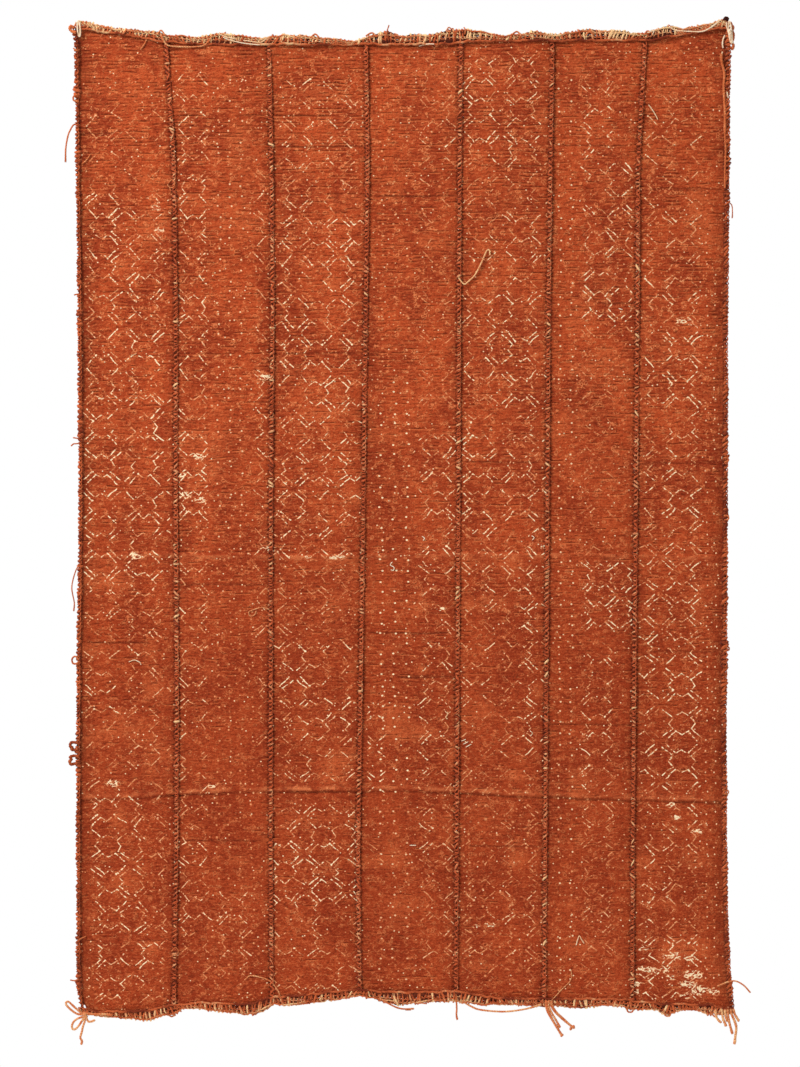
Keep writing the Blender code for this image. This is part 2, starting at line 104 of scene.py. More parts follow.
# %% Slices of a solid
def slice_node(node, axis, places):
    """Lowest and highest corner of a CAD node where planes cut it, one row for each place along an axis."""
    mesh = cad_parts[node].data
    spots = np.array([vert.co for vert in mesh.vertices])
    ends = spots[np.array([edge.vertices for edge in mesh.edges])]
    start, end = ends[:, 0], ends[:, 1]
    lows, highs = [], []
    margin = 2e-5
    for place in np.clip(places, spots[:, axis].min() + margin, spots[:, axis].max() - margin):
        run = end[:, axis] - start[:, axis]
        crossed = (np.minimum(start[:, axis], end[:, axis]) <= place) & (
            np.maximum(start[:, axis], end[:, axis]) >= place) & (np.abs(run) > 1e-9)
        share = ((place - start[crossed, axis]) / run[crossed])[:, None]
        points = start[crossed] + share * (end[crossed] - start[crossed])
        lows.append(points.min(0))
        highs.append(points.max(0))
    return np.array(lows), np.array(highs)


box_low, box_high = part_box("strip_4")
print("strip 4 is", [round((high - low) / MM) for low, high in zip(box_low, box_high)], "mm")

# %% [markdown]
# ## Chance that never changes
# Hand work is uneven. A hash of a cell's number gives the same "random" value at every run, and blending
# the values of neighbouring cells gives soft hills, which serve for slubs, ribs, wrinkles and uneven
# stitches.

# %% Soft noise
def cell_value(column, row, seed):
    """A value between -1 and 1 for each whole-number cell."""
    mixed = (column * 374761393 + row * 668265263 + seed * 1442695041) & 0xFFFFFFFF
    mixed = ((mixed ^ (mixed >> 13)) * 1274126177) & 0xFFFFFFFF
    return ((mixed ^ (mixed >> 16)) & 0xFFFF) / 32767.5 - 1.0


def hills(x, z, width, height, seed):
    """Soft hills and hollows, about as wide and as high as given, at arrays of places."""
    across, down = np.asarray(x) / width + 512.3, np.asarray(z) / height + 512.7
    column, row = np.floor(across).astype(np.int64), np.floor(down).astype(np.int64)
    right, below = across - column, down - row
    right, below = right * right * (3 - 2 * right), below * below * (3 - 2 * below)
    upper = cell_value(column, row, seed) * (1 - right) + cell_value(column + 1, row, seed) * right
    lower = cell_value(column, row + 1, seed) * (1 - right) + cell_value(column + 1, row + 1, seed) * right
    return upper * (1 - below) + lower * below


def swell(run, size, seed):
    """Soft hills and hollows along a line, about as long as given."""
    return hills(run, run * 0, size, 1, seed)


def draw(order, kind, seed):
    """A value between -1 and 1 for each number in an order, another one for each kind."""
    return cell_value(order, order * 0 + kind, seed)


print("one hill:", round(float(hills(0.1, 0.2, 0.03, 0.003, 1)), 3), "one draw:", round(draw(1, 2, 3), 3))

# %% [markdown]
# ## Building a finish from nodes
# A material is a chain of small steps, and each step is a node. A node's output is wrapped in a small
# class here, so that + - and * between two steps add the Math nodes by themselves, and the recipes below
# read like arithmetic.

# %% Steps of a finish
class Step:
    """The output of one node. Arithmetic with it adds a Math node."""

    def __init__(self, socket):
        self.socket = socket
        self.tree = socket.id_data

    def __add__(self, other):
        return calc("ADD", self, other)

    def __sub__(self, other):
        return calc("SUBTRACT", self, other)

    def __rsub__(self, other):
        return calc("SUBTRACT", other, self)

    def __mul__(self, other):
        return calc("MULTIPLY", self, other)


def feed(socket, value):
    """Put a number, a colour or another step into a socket."""
    if isinstance(value, Step):
        value.tree.links.new(value.socket, socket)
    else:
        socket.default_value = value


def step(kind, inputs, output=0, **settings):
    """Add a node of a kind, set it, put values into its sockets, and give one of its outputs."""
    tree = next(value.tree for value in inputs.values() if isinstance(value, Step))
    node = tree.nodes.new(kind)
    for title, value in settings.items():
        setattr(node, title, value)
    for title, value in inputs.items():
        feed(node.inputs[title], value)
    return Step(node.outputs[output])


def calc(operation, *values):
    """One Math step."""
    return step("ShaderNodeMath", dict(enumerate(values)), operation=operation)


def three(x, y, z):
    """One vector from three values."""
    return step("ShaderNodeCombineXYZ", {0: x, 1: y, 2: z})


print("signs that make a Math step:", "+ - *")

# %% [markdown]
# ## Mixing, fading and noise
# Five kinds of step do nearly all the work: a mix of two colours, a soft rise from zero to one, a cloudy
# noise, thin rings for curled fibres, and a chance value for each cell. Where the grid of a noise is bent
# first, its marks curl.

# %% Node helpers
SWIRL = 90


def new_material(name):
    """An empty material, its shader and the place on the object, from which every step starts."""
    material = bpy.data.materials.new(name)
    material.use_nodes = True
    tree = material.node_tree
    place = Step(tree.nodes.new("ShaderNodeTexCoord").outputs["Object"])
    return material, tree.nodes["Principled BSDF"], place


def mix(share, first, second):
    """Two colours mixed by a share."""
    return step("ShaderNodeMix", {"Factor": share, "A": first, "B": second}, "Result", data_type="RGBA")


def ramp(value, low, high):
    """Zero at low, one at high and a soft rise between."""
    inputs = {"Value": value, "From Min": low, "From Max": high}
    return step("ShaderNodeMapRange", inputs, "Result", interpolation_type="SMOOTHSTEP")


def noise(where, detail):
    """A noise value around one half."""
    return step("ShaderNodeTexNoise", {"Vector": where, "Scale": 1.0, "Detail": detail}, "Fac")


def rings(where, size, half):
    """Thin rings round scattered points."""
    away = step("ShaderNodeTexVoronoi", {"Vector": where, "Scale": 1.0}, "Distance")
    return 1.0 - ramp(calc("ABSOLUTE", away - size), half, half * 3)


def chance(where):
    """A different value between 0 and 1 for each place given."""
    return step("ShaderNodeTexWhiteNoise", {"Vector": where}, "Value")


def stretched(place, per_metre):
    """The place, times a number along X, Y and Z."""
    return step("ShaderNodeMapping", {"Vector": place, "Scale": per_metre}, "Vector")


def wavy(place, per_metre, amount):
    """The same, on a grid that is bent by a swirling noise, in metres."""
    bend = step("ShaderNodeTexNoise", {"Vector": place, "Scale": SWIRL}, "Color")
    moved = step("ShaderNodeVectorMath", {0: bend, 1: (amount,) * 3, 2: place}, operation="MULTIPLY_ADD")
    return stretched(moved, per_metre)


def painted(place, name):
    """The three numbers that the mesh stores at each point under a name."""
    node = place.tree.nodes.new("ShaderNodeAttribute")
    node.attribute_name = name
    parts = place.tree.nodes.new("ShaderNodeSeparateXYZ")
    feed(parts.inputs[0], Step(node.outputs["Vector"]))
    return [Step(part) for part in parts.outputs]


def matt(shader, body, roughness, gloss, height, depth):
    """Give a shader its colour and next to no gloss, and let a height tilt its shading."""
    feed(shader.inputs["Base Color"], body)
    shader.inputs["Roughness"].default_value = roughness
    shader.inputs["Specular IOR Level"].default_value = gloss
    feed(shader.inputs["Normal"], step("ShaderNodeBump", {"Distance": depth, "Height": height}, "Normal"))


print("the noise that bends a grid has", SWIRL, "swirls to a metre")

# %% [markdown]
# ## Colours of the dye
# A colour picked on a screen isn't what a shader wants, which is linear light. The lamp and the
# white surround together also give more than full light, so a dye has to be a little darker than it
# shows.

# %% Dyes
LIGHT_LEVEL = 1.56


def screen(red, green, blue):
    """A colour picked on a screen, 0 to 255, as the linear colour that a shader wants."""
    return tuple(((channel / 255 + 0.055) / 1.055) ** 2.4 for channel in (red, green, blue)) + (1.0,)


def dyed(red, green, blue):
    """The dye that shows as this screen colour where the lamp and the white surround both reach it."""
    return tuple(channel / LIGHT_LEVEL for channel in screen(red, green, blue)[:3]) + (1.0,)


DEEP_RUST = dyed(108, 38, 18)
LIGHT_RUST = dyed(212, 102, 55)
CREAM = dyed(255, 232, 190)
print("cream as a dye, in linear light:", [round(channel, 3) for channel in CREAM[:3]])

# %% [markdown]
# ## The motif as arithmetic
# The cloth is painted with a traditional lattice: double lines run into each crossing, and between the
# crossings the lines turn out and back again, so that each field has a notched outline. It is the same in
# all eight directions, so two short strokes are enough: the place inside a field is folded by its
# absolute values before the strokes are drawn.

# %% Motif strokes
STROKES = (((0.45, 0.36), (0.21, 0.14), 1.0), ((0.21, 0.14), (0.31, 0.0), 0.72))
STROKE_HALF = 0.008
HAND_WOBBLE = 0.10


def distance_to(across, along, start, end):
    """How far a place is from a straight stroke."""
    run = (end[0] - start[0], end[1] - start[1])
    length = run[0] ** 2 + run[1] ** 2
    right, up = across - start[0], along - start[1]
    reached = right * (run[0] / length) + up * (run[1] / length)
    share = calc("MINIMUM", calc("MAXIMUM", reached, 0.0), 1.0)
    aside, above = right - share * run[0], up - share * run[1]
    return calc("SQRT", aside * aside + above * above)


def lattice(place, wobble):
    """Where the painted lines are, from the place in fields that the mesh stores."""
    column, row, strength = painted(place, "motif")
    column, row = (bend * HAND_WOBBLE + (way - HAND_WOBBLE / 2) for way, bend in zip((column, row), wobble))
    across, down = calc("FRACT", column) - 0.5, calc("FRACT", row) - 0.5
    wide, high = calc("ABSOLUTE", across), calc("ABSOLUTE", down)
    longer, shorter = calc("MAXIMUM", wide, high), calc("MINIMUM", wide, high)
    side = calc("GREATER_THAN", across, 0.0) * 2.0 + calc("GREATER_THAN", down, 0.0)
    side = calc("GREATER_THAN", wide, high) * 4.0 + side
    eighth = calc("MULTIPLY_ADD", calc("FLOOR", column), 3.7, side)
    drawn = []
    for number, (start, end, share) in enumerate(STROKES):
        line = 1.0 - ramp(distance_to(longer, shorter, start, end), STROKE_HALF, STROKE_HALF * 2.3)
        luck = chance(three(eighth, calc("FLOOR", row), 1.5 + number))
        drawn.append(line * ramp(strength * 0.8 + luck, 0.58, 1.22) * share)
        if number == 0:
            blob = 1.0 - ramp(distance_to(longer, shorter, end, (end[0] + 0.001, end[1])), 0.014, 0.034)
            drawn.append(blob * ramp(luck, 0.45, 0.95) * 1.3)
    lines = calc("MAXIMUM", calc("MAXIMUM", drawn[0], drawn[1]), drawn[2])
    return lines * calc("MINIMUM", strength * 1.25, 1.2)


print("strokes in one eighth of a field:", len(STROKES))

# %% [markdown]
# ## Dots
# Between the lattices run columns of small painted dots. A dot is a disc at the middle of its cell,
# shifted a little by chance, and chance also leaves some of them out.

# %% Dots
DOT_RADIUS = 0.058
DOT_CHANCE = 7.3
DOT_STRAY = 0.26
FLECK_RADIUS = 0.09
FLECK_STRAY = 0.72


def dots(place, name, radius, floor, stray):
    """Small discs, one to a cell, from the place in cells that the mesh stores."""
    column, row, strength = painted(place, name)
    luck = chance(three(calc("FLOOR", column), calc("FLOOR", row), DOT_CHANCE))
    across, down = ((calc("FRACT", luck * spin) - 0.5) * stray + (calc("FRACT", way) - 0.5)
                    for way, spin in ((column, 57.3), (row, 93.7)))
    away = calc("SQRT", across * across + down * down)
    disc = 1.0 - ramp(away, radius, radius * 1.9)
    return disc * ramp(luck + strength * 0.6, floor, floor + 0.35) * calc("MINIMUM", strength, 1.0)


print("a dot's radius, as a share of its cell:", DOT_RADIUS)

# %% [markdown]
# ## Grooves of the weave
# The weft lies in ribs across each strip. Between two ribs is a thin groove, painted as a dark line of
# shade, and the edge under it is painted lighter, as a highlight. The mesh stores each point's place in
# ribs, so a line is drawn wherever that number is whole.

# %% Weft grooves
GROOVE_HALF = (0.04, 0.18)
LIT_EDGE = (0.27, 0.05, 0.24)


def grooves(place):
    """Thin lines of painted shade between the ribs of the weave, and a painted highlight on the edge under
    each.
    """
    row, across, strength = painted(place, "weave")
    line = calc("ROUND", row)
    away = row - line
    luck = noise(three(across, line * 3.17, 0.5), 2)
    deep = ramp(strength * 0.11 + luck, 0.54, 0.80)
    # Painted shade along the groove, and a painted highlight on the edge under it.
    dark = 1.0 - ramp(calc("ABSOLUTE", away), *GROOVE_HALF)
    lit = 1.0 - ramp(calc("ABSOLUTE", away + LIT_EDGE[0]), *LIT_EDGE[1:])
    return dark * deep, lit * deep


print("a groove's half width, as a share of a rib:", GROOVE_HALF)

# %% [markdown]
# ## The cloth's finish
# The cotton was dyed rust brown and painted with pale lines. It is matt, so there is next to no gloss.
# From near to far the colour has four scales: crossing threads, slubs a few centimetres long, cloudy dye,
# and a band of painted shade beside each seam. The mesh stores ribs, painted shade and creases at its
# points, so colour and shape agree: rib crests and the edges under the grooves are painted lighter, and
# grooves and hollows darker, as highlight and shade.

# %% Cloth finish
def dyed_ground(place, blur, weft, warp, slubs, grain, groove_shade_and_highlight, curl):
    """The bare cloth: rust dye in clouds, with its ribs, slubs, threads and fibres, painted highlight and shade
    on ribs and grooves, painted shade from the mesh, and creases lighter along their crests.
    """
    rib, painted_shade_and_dark_tone, crease = painted(place, "relief")
    patch, _, lower = painted(place, "patches")
    clouds = noise(stretched(place, (13, 13, 9)), 3)
    body = mix(ramp(clouds, 0.34, 0.66), dyed(150, 52, 25), dyed(185, 74, 36))
    body = mix(lower * 0.52, body, dyed(138, 46, 20))
    calm = lower * -0.42 + 1.0
    for value, low, high, share, dye in (
            (blur, 0.46, 0.74, 0.40, LIGHT_RUST), (patch, 0.0, 1.0, 0.45, LIGHT_RUST),
            # Rib crests are painted lighter and the hollows between them darker, as painted highlight and
            # shade.
            (rib, 0.0, 0.9, 0.40, dyed(212, 104, 58)), (rib, 0.0, -0.9, 0.38, DEEP_RUST),
            (slubs, 0.52, 0.70, 0.42, dyed(218, 108, 60)), (slubs, 0.47, 0.31, 0.55, DEEP_RUST),
            (grain, 0.54, 0.72, 0.45, dyed(226, 120, 70)), (grain, 0.45, 0.28, 0.60, dyed(92, 30, 14)),
            (weft, 0.56, 0.74, 0.25, dyed(224, 114, 66)), (warp, 0.44, 0.28, 0.35, dyed(104, 36, 18)),
            # Painted highlight under each groove and painted shade in it.
            (curl, 0.0, 1.0, 0.70, dyed(234, 134, 82)), (groove_shade_and_highlight[1], 0.0, 1.0, 0.50, dyed(224, 118, 66)),
            (groove_shade_and_highlight[0], 0.0, 1.0, 0.56, dyed(96, 32, 14))):
        share = calm * share if value in (blur, curl, slubs) else share
        body = mix(ramp(value, low, high) * share, body, dye)
    # Painted shade from the mesh: beside seams and edge rolls, near both ends, in crease furrows and along deep
    # weft threads.
    body = mix(painted_shade_and_dark_tone, body, dyed(62, 18, 9))
    # Lighter along each crease's crest.
    return mix(crease * ramp(blur, 0.30, 0.66) * 0.85, body, dyed(228, 128, 78))


def paint_share(place):
    """How much pale paint lies at each place: lines, dots, flecks, blotches and stray strokes."""
    wobble = [noise(stretched(place, grid), 1) for grid in ((45, 45, 45), (38, 38, 61))]
    broken = ramp(noise(stretched(place, (210, 210, 250)), 2), 0.42, 0.57)
    blot = painted(place, "patches")[1]
    brush = noise(wavy(place, (210, 210, 420), 0.005), 2)
    blotches = ramp(blot * 0.08 + brush, 0.61, 0.66) * calc("MINIMUM", blot * 1.8, 1.0)
    strokes = rings(wavy(place, (62, 62, 120), 0.010), 0.38, 0.035) * ramp(blot, 0.0, 0.4)
    paint = lattice(place, wobble) * (broken * 0.98 + 0.14)
    for other in (dots(place, "dots", DOT_RADIUS, 0.62, DOT_STRAY),
                  dots(place, "flecks", FLECK_RADIUS, 1.30, FLECK_STRAY), blotches, strokes * 0.9):
        paint = calc("MAXIMUM", paint, other)
    return paint


def cloth_finish():
    """Dyed, painted, slubby plain weave."""
    material, shader, place = new_material("cloth")
    blur = noise(stretched(place, (70, 70, 95)), 3)
    weft, warp = (noise(stretched(place, grid), 2) for grid in ((260, 260, 900), (900, 300, 160)))
    slubs = noise(wavy(place, (70, 70, 290), 0.007), 3)
    grain = noise(wavy(place, (230, 230, 420), 0.005), 2)
    curl = rings(wavy(place, (120, 120, 150), 0.006), 0.36, 0.045) * ramp(blur, 0.46, 0.60)
    groove_shade_and_highlight = grooves(place)
    body = dyed_ground(place, blur, weft, warp, slubs, grain, groove_shade_and_highlight, curl)
    paint = paint_share(place)
    body = mix(ramp(paint, 0.02, 0.5) * 0.85, body, dyed(236, 154, 102))
    body = mix(ramp(paint, 0.52, 1.02), body, CREAM)
    height = weft * 0.4 + warp * 0.4 + grain * 0.7 + slubs * 0.7 + groove_shade_and_highlight[0] * -0.7 + curl * 0.35
    matt(shader, body, 0.93, 0.05, height, 2.0 * MM)
    return material


FINISHES = {"cloth": cloth_finish()}
print("steps in the cloth's finish:", len(FINISHES["cloth"].node_tree.nodes))

# %% [markdown]
# ## The yarn's finish
# All sewing is done with a soft hand-spun yarn. Some of it took the dye and some stayed cream, often on
# the same stitch. Each point of a yarn's mesh stores a tone from 0, dark rust, to 1, cream, and the
# finish blends by it. A second stored number darkens it: painted shade in the hollows and on the sides
# of loops that face the cloth, and a darker tone on a few ends.

# %% Yarn finish
def yarn_finish(name, dark, middle, pale):
    """Hand-spun yarn whose colour follows the stored tone, darkened by the stored painted shade and dark tone.
    """
    material, shader, place = new_material(name)
    fibres = noise(stretched(place, (900, 900, 900)), 3)
    streaks = noise(stretched(place, (240, 240, 240)), 2)
    tone, painted_shade_and_dark_tone, _ = painted(place, "tone")
    tone = tone + (streaks - 0.5) * 0.7
    body = mix(ramp(tone, 0.0, 0.5), dyed(*dark), dyed(*middle))
    body = mix(ramp(tone, 0.5, 1.0), body, dyed(*pale))
    body = mix(ramp(fibres, 0.5, 0.32) * 0.5, body, dyed(*dark))
    # The stored painted shade and dark tone darken the yarn towards near black.
    matt(shader, mix(painted_shade_and_dark_tone, body, dyed(54, 17, 8)), 0.9, 0.1, fibres, 0.5 * MM)
    shader.inputs["Sheen Weight"].default_value = 0.03
    return material


def named(columns, rows, strip=None):
    """Rows of a table as dictionaries, for one strip or for all."""
    found = [dict(zip(columns, row)) for row in rows]
    return [row for row in found if strip is None or row["strip"] == strip]


YARN_COLUMNS = ("name", "dark", "middle", "pale")
YARN_ROWS = (
    ("seam_yarn", (116, 40, 18), (198, 88, 46), (248, 196, 140)),
    ("edge_yarn", (120, 42, 18), (204, 98, 52), (252, 206, 148)),
    ("loose_yarn", (132, 50, 22), (210, 110, 60), (248, 196, 138)),
    ("pale_yarn", (196, 116, 74), (242, 196, 148), (255, 236, 206)),
)
FINISHES.update({row["name"]: yarn_finish(**row) for row in named(YARN_COLUMNS, YARN_ROWS)})
print("finishes:", list(FINISHES))

# %% [markdown]
# ## From points to a mesh
# A yarn is a tube: a ring of points around each point of its line. Numpy makes all the rings at once, and
# many yarns go into one mesh, which keeps the file quick. The rings need a direction that is never along
# the yarn, so each line comes with one, called outward.

# %% Tubes
FORWARD = (0, -1, 0)


def tube(line, radius, outward, tone=0.5, painted_shade_and_dark_tone=0.0, sides=5):
    """Points, faces and stored tones of one yarn along a line; the second stored number darkens it, as painted
    shade and as a darker tone.
    """
    line, outward = np.asarray(line, float), np.broadcast_to(np.asarray(outward, float), np.shape(line))
    count = len(line)
    ahead = np.gradient(line, axis=0)
    ahead = ahead / np.maximum(np.linalg.norm(ahead, axis=1, keepdims=True), 1e-12)
    side = outward - (outward * ahead).sum(1, keepdims=True) * ahead
    side = side / np.maximum(np.linalg.norm(side, axis=1, keepdims=True), 1e-12)
    other = np.cross(ahead, side)
    turns = 2 * math.pi * np.arange(sides) / sides
    spokes = np.cos(turns)[None, :, None] * side[:, None] + np.sin(turns)[None, :, None] * other[:, None]
    points = line[:, None] + np.broadcast_to(radius, count)[:, None, None] * spokes
    ring, step = np.arange(count - 1)[:, None] * sides, np.arange(sides)
    beside = (step + 1) % sides
    below = ring + sides
    walls = np.stack([ring + step, ring + beside, below + beside, below + step], -1).reshape(-1, 4)
    ends = [list(range(sides))[::-1], [(count - 1) * sides + step for step in range(sides)]]
    stored = np.stack([np.broadcast_to(tone, count), np.broadcast_to(painted_shade_and_dark_tone, count), np.zeros(count)], 1)
    return points.reshape(-1, 3), walls, ends, np.repeat(stored, sides, axis=0)


def joined(x, y, z):
    """Rows of points from three arrays, which are stretched to one shape first."""
    return np.stack(np.broadcast_arrays(x, y, z), -1).reshape(-1, 3)


def mesh_piece(name, points, faces, slot, stored):
    """A smooth mesh with the finish of its slot, which rides on the cloth's one body."""
    mesh = bpy.data.meshes.new(name)
    mesh.from_pydata(points.tolist(), [], faces)
    mesh.polygons.foreach_set("use_smooth", [True] * len(mesh.polygons))
    for title, values in stored.items():
        layer = mesh.attributes.new(title, "FLOAT_VECTOR", "POINT")
        layer.data.foreach_set("vector", np.asarray(values, np.float32).ravel())
    mesh.update()
    made = bpy.data.objects.new(name, mesh)
    bpy.context.scene.collection.objects.link(made)
    mesh.materials.append(FINISHES[slot])
    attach(made, "root")
    return made


def yarn_piece(name, tubes, slot, stands_for=None):
    """One piece made of several yarns, and the CAD node that it replaces, if any."""
    points, faces, tones, first = [], [], [], 0
    for spots, walls, ends, stored in tubes:
        points.append(spots)
        tones.append(stored)
        faces += (walls + first).tolist() + [[corner + first for corner in end] for end in ends]
        first += len(spots)
    made = mesh_piece(name, np.concatenate(points), faces, slot, {"tone": np.concatenate(tones)})
    if stands_for:
        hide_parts(stands_for)
    print(f"{name}: {len(tubes)} yarns, {sum(len(face) - 2 for face in faces)} triangles")
    return made


sample = tube([(0, 0, 0), (0, 0, -MM), (0, 0, -2 * MM)], MM, FORWARD)
print("corners of a yarn with three places:", len(sample[0]))

# %% [markdown]
# ## Where the painting is
# The lattice isn't the same on each strip. These tables say, in millimetres, where its crossings lie and
# which parts of a strip were painted strongly, faintly or not at all. The dots have tables of the same
# kind.

# %% Tables of the painting
CROSSING_COLUMNS = ("strip", "pitch", "x_345", "x_900", "x_1150", "x_1400",
                    "row_0", "row_8", "row_15", "row_22")
CROSSING_ROWS = (
    (1, 70, -457, -460, -460, -443, 82, 609, 1062, 1477),
    (2, 64, -311, -311, -311, -309, 84, 610, 1049, 1460),
    (3, 68, -104, -114, -106, -90, 94, 619, 1049, 1460),
    (4, 66, 24, 24, 22, 26, 94, 610, 1047, 1460),
    (5, 68, 162, 157, 155, 160, 89, 612, 1047, 1460),
    (6, 67, 290, 290, 288, 286, 72, 606, 1042, 1454),
    (7, 71, 423, 423, 423, 424, 89, 612, 1034, 1472),
)
PAINTED_COLUMNS = ("strip", "left", "right", "upper", "lower", "strength")
PAINTED_ROWS = (
    (1, -523, -380, 110, 260, 0.42), (1, -523, -380, 250, 560, 0.8), (1, -523, -380, 560, 920, 0.9),
    (1, -523, -380, 920, 1130, 0.65), (1, -523, -380, 1130, 1240, 0.45), (1, -512, -430, 1230, 1480, 0.85),
    (1, -512, -385, 1230, 1480, 0.6), (1, -505, -390, 1480, 1585, 0.85), (2, -372, -319, 60, 660, 0.75),
    (2, -372, -319, 650, 800, 1.2), (2, -372, -319, 790, 1560, 0.6), (2, -252, -218, 200, 860, 0.6),
    (2, -252, -218, 860, 1180, 0.5), (2, -350, -240, 1390, 1560, 0.65), (3, -212, -62, 60, 300, 0.6),
    (3, -212, -62, 290, 860, 0.85), (3, -212, -62, 860, 1000, 0.45), (3, -212, -62, 990, 1230, 0.75),
    (3, -212, -62, 1260, 1440, 1.0), (3, -212, -62, 1440, 1580, 0.6), (4, 17, 90, 40, 240, 0.6),
    (4, 17, 90, 230, 660, 0.35), (4, 17, 90, 650, 860, 0.75), (4, 17, 90, 850, 1240, 0.6),
    (4, 17, 90, 1240, 1560, 0.5), (4, -58, -28, 1090, 1250, 0.8), (4, -58, -30, 1240, 1400, 0.45),
    (5, 96, 238, 30, 200, 0.8), (5, 96, 238, 190, 420, 0.6), (5, 96, 238, 410, 870, 0.8),
    (5, 96, 238, 860, 1190, 0.55), (5, 188, 238, 860, 1190, 0.85), (5, 96, 238, 1180, 1560, 0.48),
    (6, 291, 346, 50, 210, 0.75), (6, 291, 378, 200, 480, 0.8), (6, 291, 346, 470, 870, 0.4),
    (6, 291, 380, 860, 980, 1.0), (6, 291, 346, 1000, 1250, 0.7), (6, 291, 350, 1250, 1560, 0.55),
    (7, 386, 494, 60, 270, 0.5), (7, 386, 494, 260, 480, 0.7), (7, 386, 494, 470, 900, 0.8),
    (7, 386, 494, 890, 1240, 0.9), (7, 386, 494, 1240, 1470, 0.65), (7, 386, 494, 1470, 1585, 0.9),
)
DOT_COLUMNS = ("strip", "left", "right", "upper", "lower", "strength", "first_x", "pitch_x", "pitch_z")
DOT_ROWS = (
    (1, -521, -507, 1470, 1592, 0.9, -514, 14, 15), (2, -309, -256, 60, 860, 0.8, -302, 18.7, 17.5),
    (2, -309, -230, 860, 1570, 0.55, -302, 18.7, 17.5), (3, -70, -64, 100, 500, 0.1, -66, 20, 20),
    (4, -46, 16, 100, 560, 0.55, -35, 21.6, 17.2), (4, -46, 16, 560, 1250, 1.0, -35, 21.6, 17.2),
    (4, -46, 16, 1250, 1560, 0.75, -35, 21.6, 17.2), (5, 100, 236, 1180, 1570, 0.4, 110, 24, 23),
    (6, 249, 285, 60, 1570, 0.85, 258, 19.4, 17.6), (7, 493, 522, 330, 1580, 0.8, 499, 14, 17),
)
BLOTCH_COLUMNS = ("x", "depth", "radius", "strength")
BLOTCH_ROWS = (
    (452, 1511, 11, 1.0), (469, 1514, 8, 0.9), (396, 1531, 8, 1.0), (409, 1534, 9, 0.9),
    (432, 1531, 8, 0.9), (477, 1541, 13, 1.0), (443, 1544, 8, 0.8), (466, 1556, 12, 0.9),
    (486, 1566, 13, 1.0), (464, 1575, 8, 0.8), (511, 1568, 9, 0.8), (386, 1556, 6, 1.0),
    (386, 1568, 5, 1.0), (429, 1511, 7, 0.8), (396, 1497, 8, 0.9), (442, 1262, 7, 0.9), (449, 1283, 9, 0.8),
    (483, 1306, 8, 0.9), (-360, 753, 10, 0.9), (-332, 761, 8, 0.9), (-336, 690, 8, 0.9),
    (-357, 722, 8, 0.8), (462, 469, 12, 0.7), (62, 940, 6, 1.0), (-400, 318, 7, 0.8), (-404, 282, 7, 0.9),
    (-437, 853, 10, 0.7), (144, 1459, 7, 0.9), (122, 1462, 5, 0.8), (-476, 1226, 10, 0.7),
    (-312, 1230, 8, 0.5), (-224, 560, 9, 0.7), (-218, 842, 9, 0.7), (231, 838, 8, 0.8),
)
print("painted fields:", len(PAINTED_ROWS), "dot fields:", len(DOT_ROWS), "blotches:", len(BLOTCH_ROWS))

# %% [markdown]
# ## Laying the painting on the mesh
# For each point of a strip the helpers below give its place counted in fields, so a whole number is a
# crossing, and how strongly it was painted there. The edges of a painted part fade over a few
# millimetres.

# %% Places in fields
FADE_X = 5.0
FADE_Z = 22.0
ROWS_ABOVE = 65.6
ROWS_BELOW = 57.0


def window(x, depth, row):
    """The share of a table row's strength at each place."""
    inside = np.clip((x - row["left"]) / FADE_X + 0.5, 0, 1) * np.clip((row["right"] - x) / FADE_X + 0.5, 0, 1)
    inside = inside * np.clip((depth - row["upper"]) / FADE_Z + 0.5, 0, 1)
    return row["strength"] * inside * np.clip((row["lower"] - depth) / FADE_Z + 0.5, 0, 1)


def motif_places(strip, x, depth):
    """Column, row and strength of the lattice at each place."""
    line = named(CROSSING_COLUMNS, CROSSING_ROWS, strip)[0]
    crossing = np.interp(depth, (345, 900, 1150, 1400), [line[f"x_{at}"] for at in (345, 900, 1150, 1400)])
    column = (x - crossing) / line["pitch"] + 40
    known = np.array([line[f"row_{number}"] for number in (0, 8, 15, 22)])
    row = np.interp(depth, known, (0, 8, 15, 22))
    row = np.where(depth < known[0], (depth - known[0]) / ROWS_ABOVE, row)
    row = np.where(depth > known[3], 22 + (depth - known[3]) / ROWS_BELOW, row) + 10
    strength = np.max([window(x, depth, part) for part in named(PAINTED_COLUMNS, PAINTED_ROWS, strip)], axis=0)
    return np.stack([column, row, strength * (1 + 0.3 * hills(x, depth, 42, 55, 70 + strip))], -1)


def dot_places(strip, x, depth):
    """Column, row and strength of the dots at each place."""
    parts = named(DOT_COLUMNS, DOT_ROWS, strip)
    strengths = [window(x, depth, part) for part in parts]
    best = np.argmax(strengths, axis=0)
    first, pitch_x, pitch_z = (np.array([part[title] for part in parts])[best] for title in
                               ("first_x", "pitch_x", "pitch_z"))
    column = (x - first + 1.6 * hills(x * 0, depth, 90, 140, 80 + strip)) / pitch_x + 30.5
    return np.stack([column, depth / pitch_z + 0.5, np.max(strengths, axis=0)], -1)


def blotch_share(x, depth):
    """One inside a pale blotch and none away from it."""
    found = np.zeros(np.shape(x))
    for row in named(BLOTCH_COLUMNS, BLOTCH_ROWS):
        away = np.hypot(1.1 * (x - row["x"]), 2.0 * (depth - row["depth"])) / row["radius"]
        found = np.maximum(found, row["strength"] * np.clip(1.6 - away, 0, 1))
    return found


print("crossings of strip 5 lie", CROSSING_ROWS[4][1], "mm apart")
